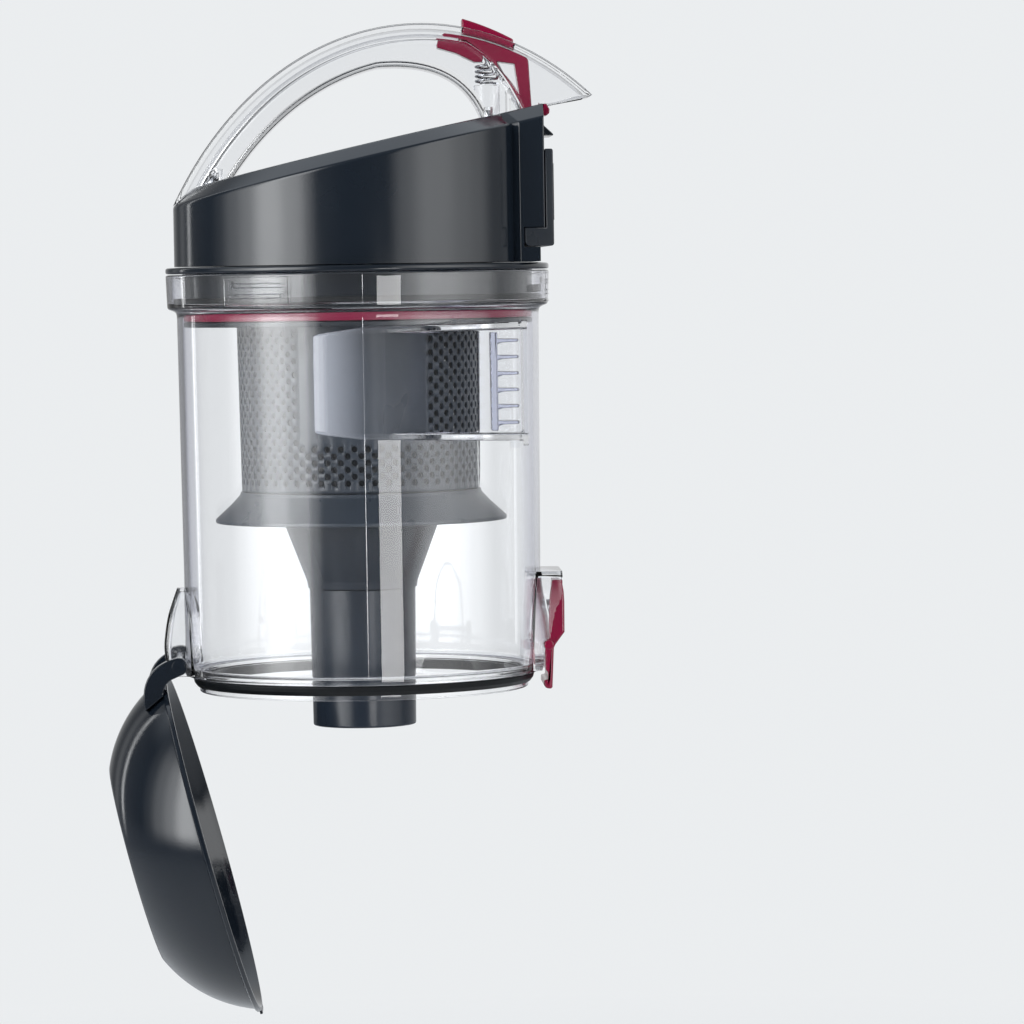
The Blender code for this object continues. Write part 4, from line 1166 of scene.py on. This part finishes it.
# Azimuth in degrees, 0 at the camera's side and 90 at the docking side, and the radiance there
SKY_BANDS = (
    (-180.0, 0.80), (-166.0, 0.30), (-150.0, 0.12), (-142.0, 0.40), (-136.0, 0.15), (-132.6, 0.20),
    (-131.6, 4.6), (-130.4, 4.6), (-129.4, 0.15), (-104.0, 0.08), (-96.0, 0.35), (-84.0, 1.7), (-72.0, 3.4),
    (-60.0, 7.6), (-52.0, 7.8), (-44.0, 5.6), (-36.0, 5.0), (-31.0, 2.2), (-24.0, 0.20), (-6.0, 0.06),
    (18.0, 0.10), (30.0, 1.7), (44.0, 3.2), (56.0, 3.1), (70.0, 2.2), (82.0, 1.6), (96.0, 0.4), (130.0, 0.6),
    (180.0, 0.80),
)
SKY_TOP_FRONT = (0.22, 0.24, 0.27, 1.0)
SKY_TOP_BACK = (1.00, 1.07, 1.15, 1.0)
SKY_BOTTOM = (0.22, 0.23, 0.25, 1.0)
CAMERA_AZIMUTH = -2.2
CAMERA_DISTANCE = 1.98
CAMERA_HEIGHT = -0.092
CAMERA_ROLL = -0.9
LENS = 172.0
AIM = Vector((0.061, 0.0, -0.1873))


def camera():
    """A long lens from the photo's viewing angle."""
    data = bpy.data.cameras.new("camera")
    data.lens = LENS
    data.clip_end = 50.0
    made = bpy.data.objects.new("camera", data)
    bpy.context.scene.collection.objects.link(made)
    turn = math.radians(CAMERA_AZIMUTH)
    x = AIM.x + CAMERA_DISTANCE * math.sin(turn)
    made.location = (x, -CAMERA_DISTANCE * math.cos(turn), CAMERA_HEIGHT)
    look = (AIM - made.location).to_track_quat("-Z", "Y").to_matrix()
    roll = Matrix.Rotation(math.radians(CAMERA_ROLL), 3, "Z")
    made.rotation_euler = (look @ roll).to_euler()
    bpy.context.scene.camera = made


def lamp(name, azimuth, elevation, distance, size, power, middle):
    """A soft box that faces the point middle, from an azimuth and a distance in metres."""
    data = bpy.data.lights.new(name, "AREA")
    data.shape = "RECTANGLE"
    data.size, data.size_y = size
    data.energy = power
    made = bpy.data.objects.new(name, data)
    bpy.context.scene.collection.objects.link(made)
    a, e = math.radians(azimuth), math.radians(elevation)
    offset = Vector((math.sin(a) * math.cos(e), -math.cos(a) * math.cos(e), math.sin(e))) * distance
    made.location = Vector(middle) + offset
    made.rotation_euler = (-offset).to_track_quat("-Z", "Y").to_euler()
    made.visible_camera = False
    made.visible_transmission = False


def upright_bands(sky, x, y):
    """The bands of light round the object, by azimuth, in greys with a faint blue."""
    azimuth = sky.math("ARCTAN2", x, sky.math("MULTIPLY", y, -1.0))
    stops = []
    for degrees, radiance in SKY_BANDS:
        value = radiance / SKY_SCALE
        stops.append(((degrees + 180.0) / 360.0, (value * 0.975, value * 0.99, value)))
    gain = sky.node("ShaderNodeVectorMath", operation="SCALE")
    gain.inputs["Scale"].default_value = SKY_SCALE
    sky.feed(sky.ramp(sky.span(azimuth, -math.pi, math.pi), stops, "EASE"), gain.inputs[0])
    return gain.outputs[0]


def backdrop_share(sky):
    """How much of the even backdrop a ray sees: all of it from the camera, straight or through clear walls,
    and little of it after a reflection."""
    rays = sky.node("ShaderNodeLightPath")
    straight = sky.span(rays.outputs["Glossy Depth"], 0.0, 1.0, 1.0, 0.28)
    through = sky.math("MULTIPLY", rays.outputs["Is Transmission Ray"], straight)
    return sky.math("MAXIMUM", rays.outputs["Is Camera Ray"], through)


def world():
    """A pale studio: even where the camera looks, with soft upright bands of light in reflections."""
    made = bpy.data.worlds.new("studio")
    bpy.context.scene.world = made
    made.use_nodes = True
    sky = Nodes(made.node_tree)
    split = sky.node("ShaderNodeSeparateXYZ")
    sky.feed(sky.node("ShaderNodeTexCoord").outputs["Generated"], split.inputs[0])
    x, y, z = split.outputs
    ceiling = sky.mix(sky.span(y, 0.0, 0.35, kind="SMOOTHSTEP"), SKY_TOP_FRONT, SKY_TOP_BACK)
    upper = sky.mix(sky.span(z, 0.45, 0.80, kind="SMOOTHSTEP"), upright_bands(sky, x, y), ceiling)
    whole = sky.mix(sky.span(z, -0.02, -0.19, kind="SMOOTHSTEP"), upper, SKY_BOTTOM)
    sky.feed(sky.mix(backdrop_share(sky), whole, PALE), sky.tree.nodes["Background"].inputs["Color"])


def floor():
    """A pale floor well below the hanging container that fades into the backdrop."""
    bpy.ops.mesh.primitive_circle_add(vertices=96, radius=7.0, fill_type="NGON", location=(0, 0, -0.62))
    made = bpy.context.object
    made.name = "floor"
    paint = Paint("floor")
    paint.set(Base_Color=(0.80, 0.81, 0.82, 1.0), Roughness=0.9)
    length = paint.node("ShaderNodeVectorMath", operation="LENGTH")
    paint.feed(paint.place, length.inputs[0])
    paint.drive("Alpha", paint.span(length.outputs["Value"], 0.35, 1.6, 1.0, 0.0))
    made.data.materials.append(paint.material)


def studio():
    """View, camera, backdrop, floor, and a lamp whose reflection shows on the open lid."""
    bpy.context.scene.view_settings.view_transform = "Standard"
    camera()
    world()
    floor()
    lamp("low_card", azimuth=17.7, elevation=0.0, distance=1.9, size=(0.47, 0.24), power=3.1,
         middle=(0.0, 0.0, -0.325))


bin_parts()
latch_parts()
lid_parts()
cyclone_parts()
rings()
housing_parts()
handle_parts()
repaint()
studio()
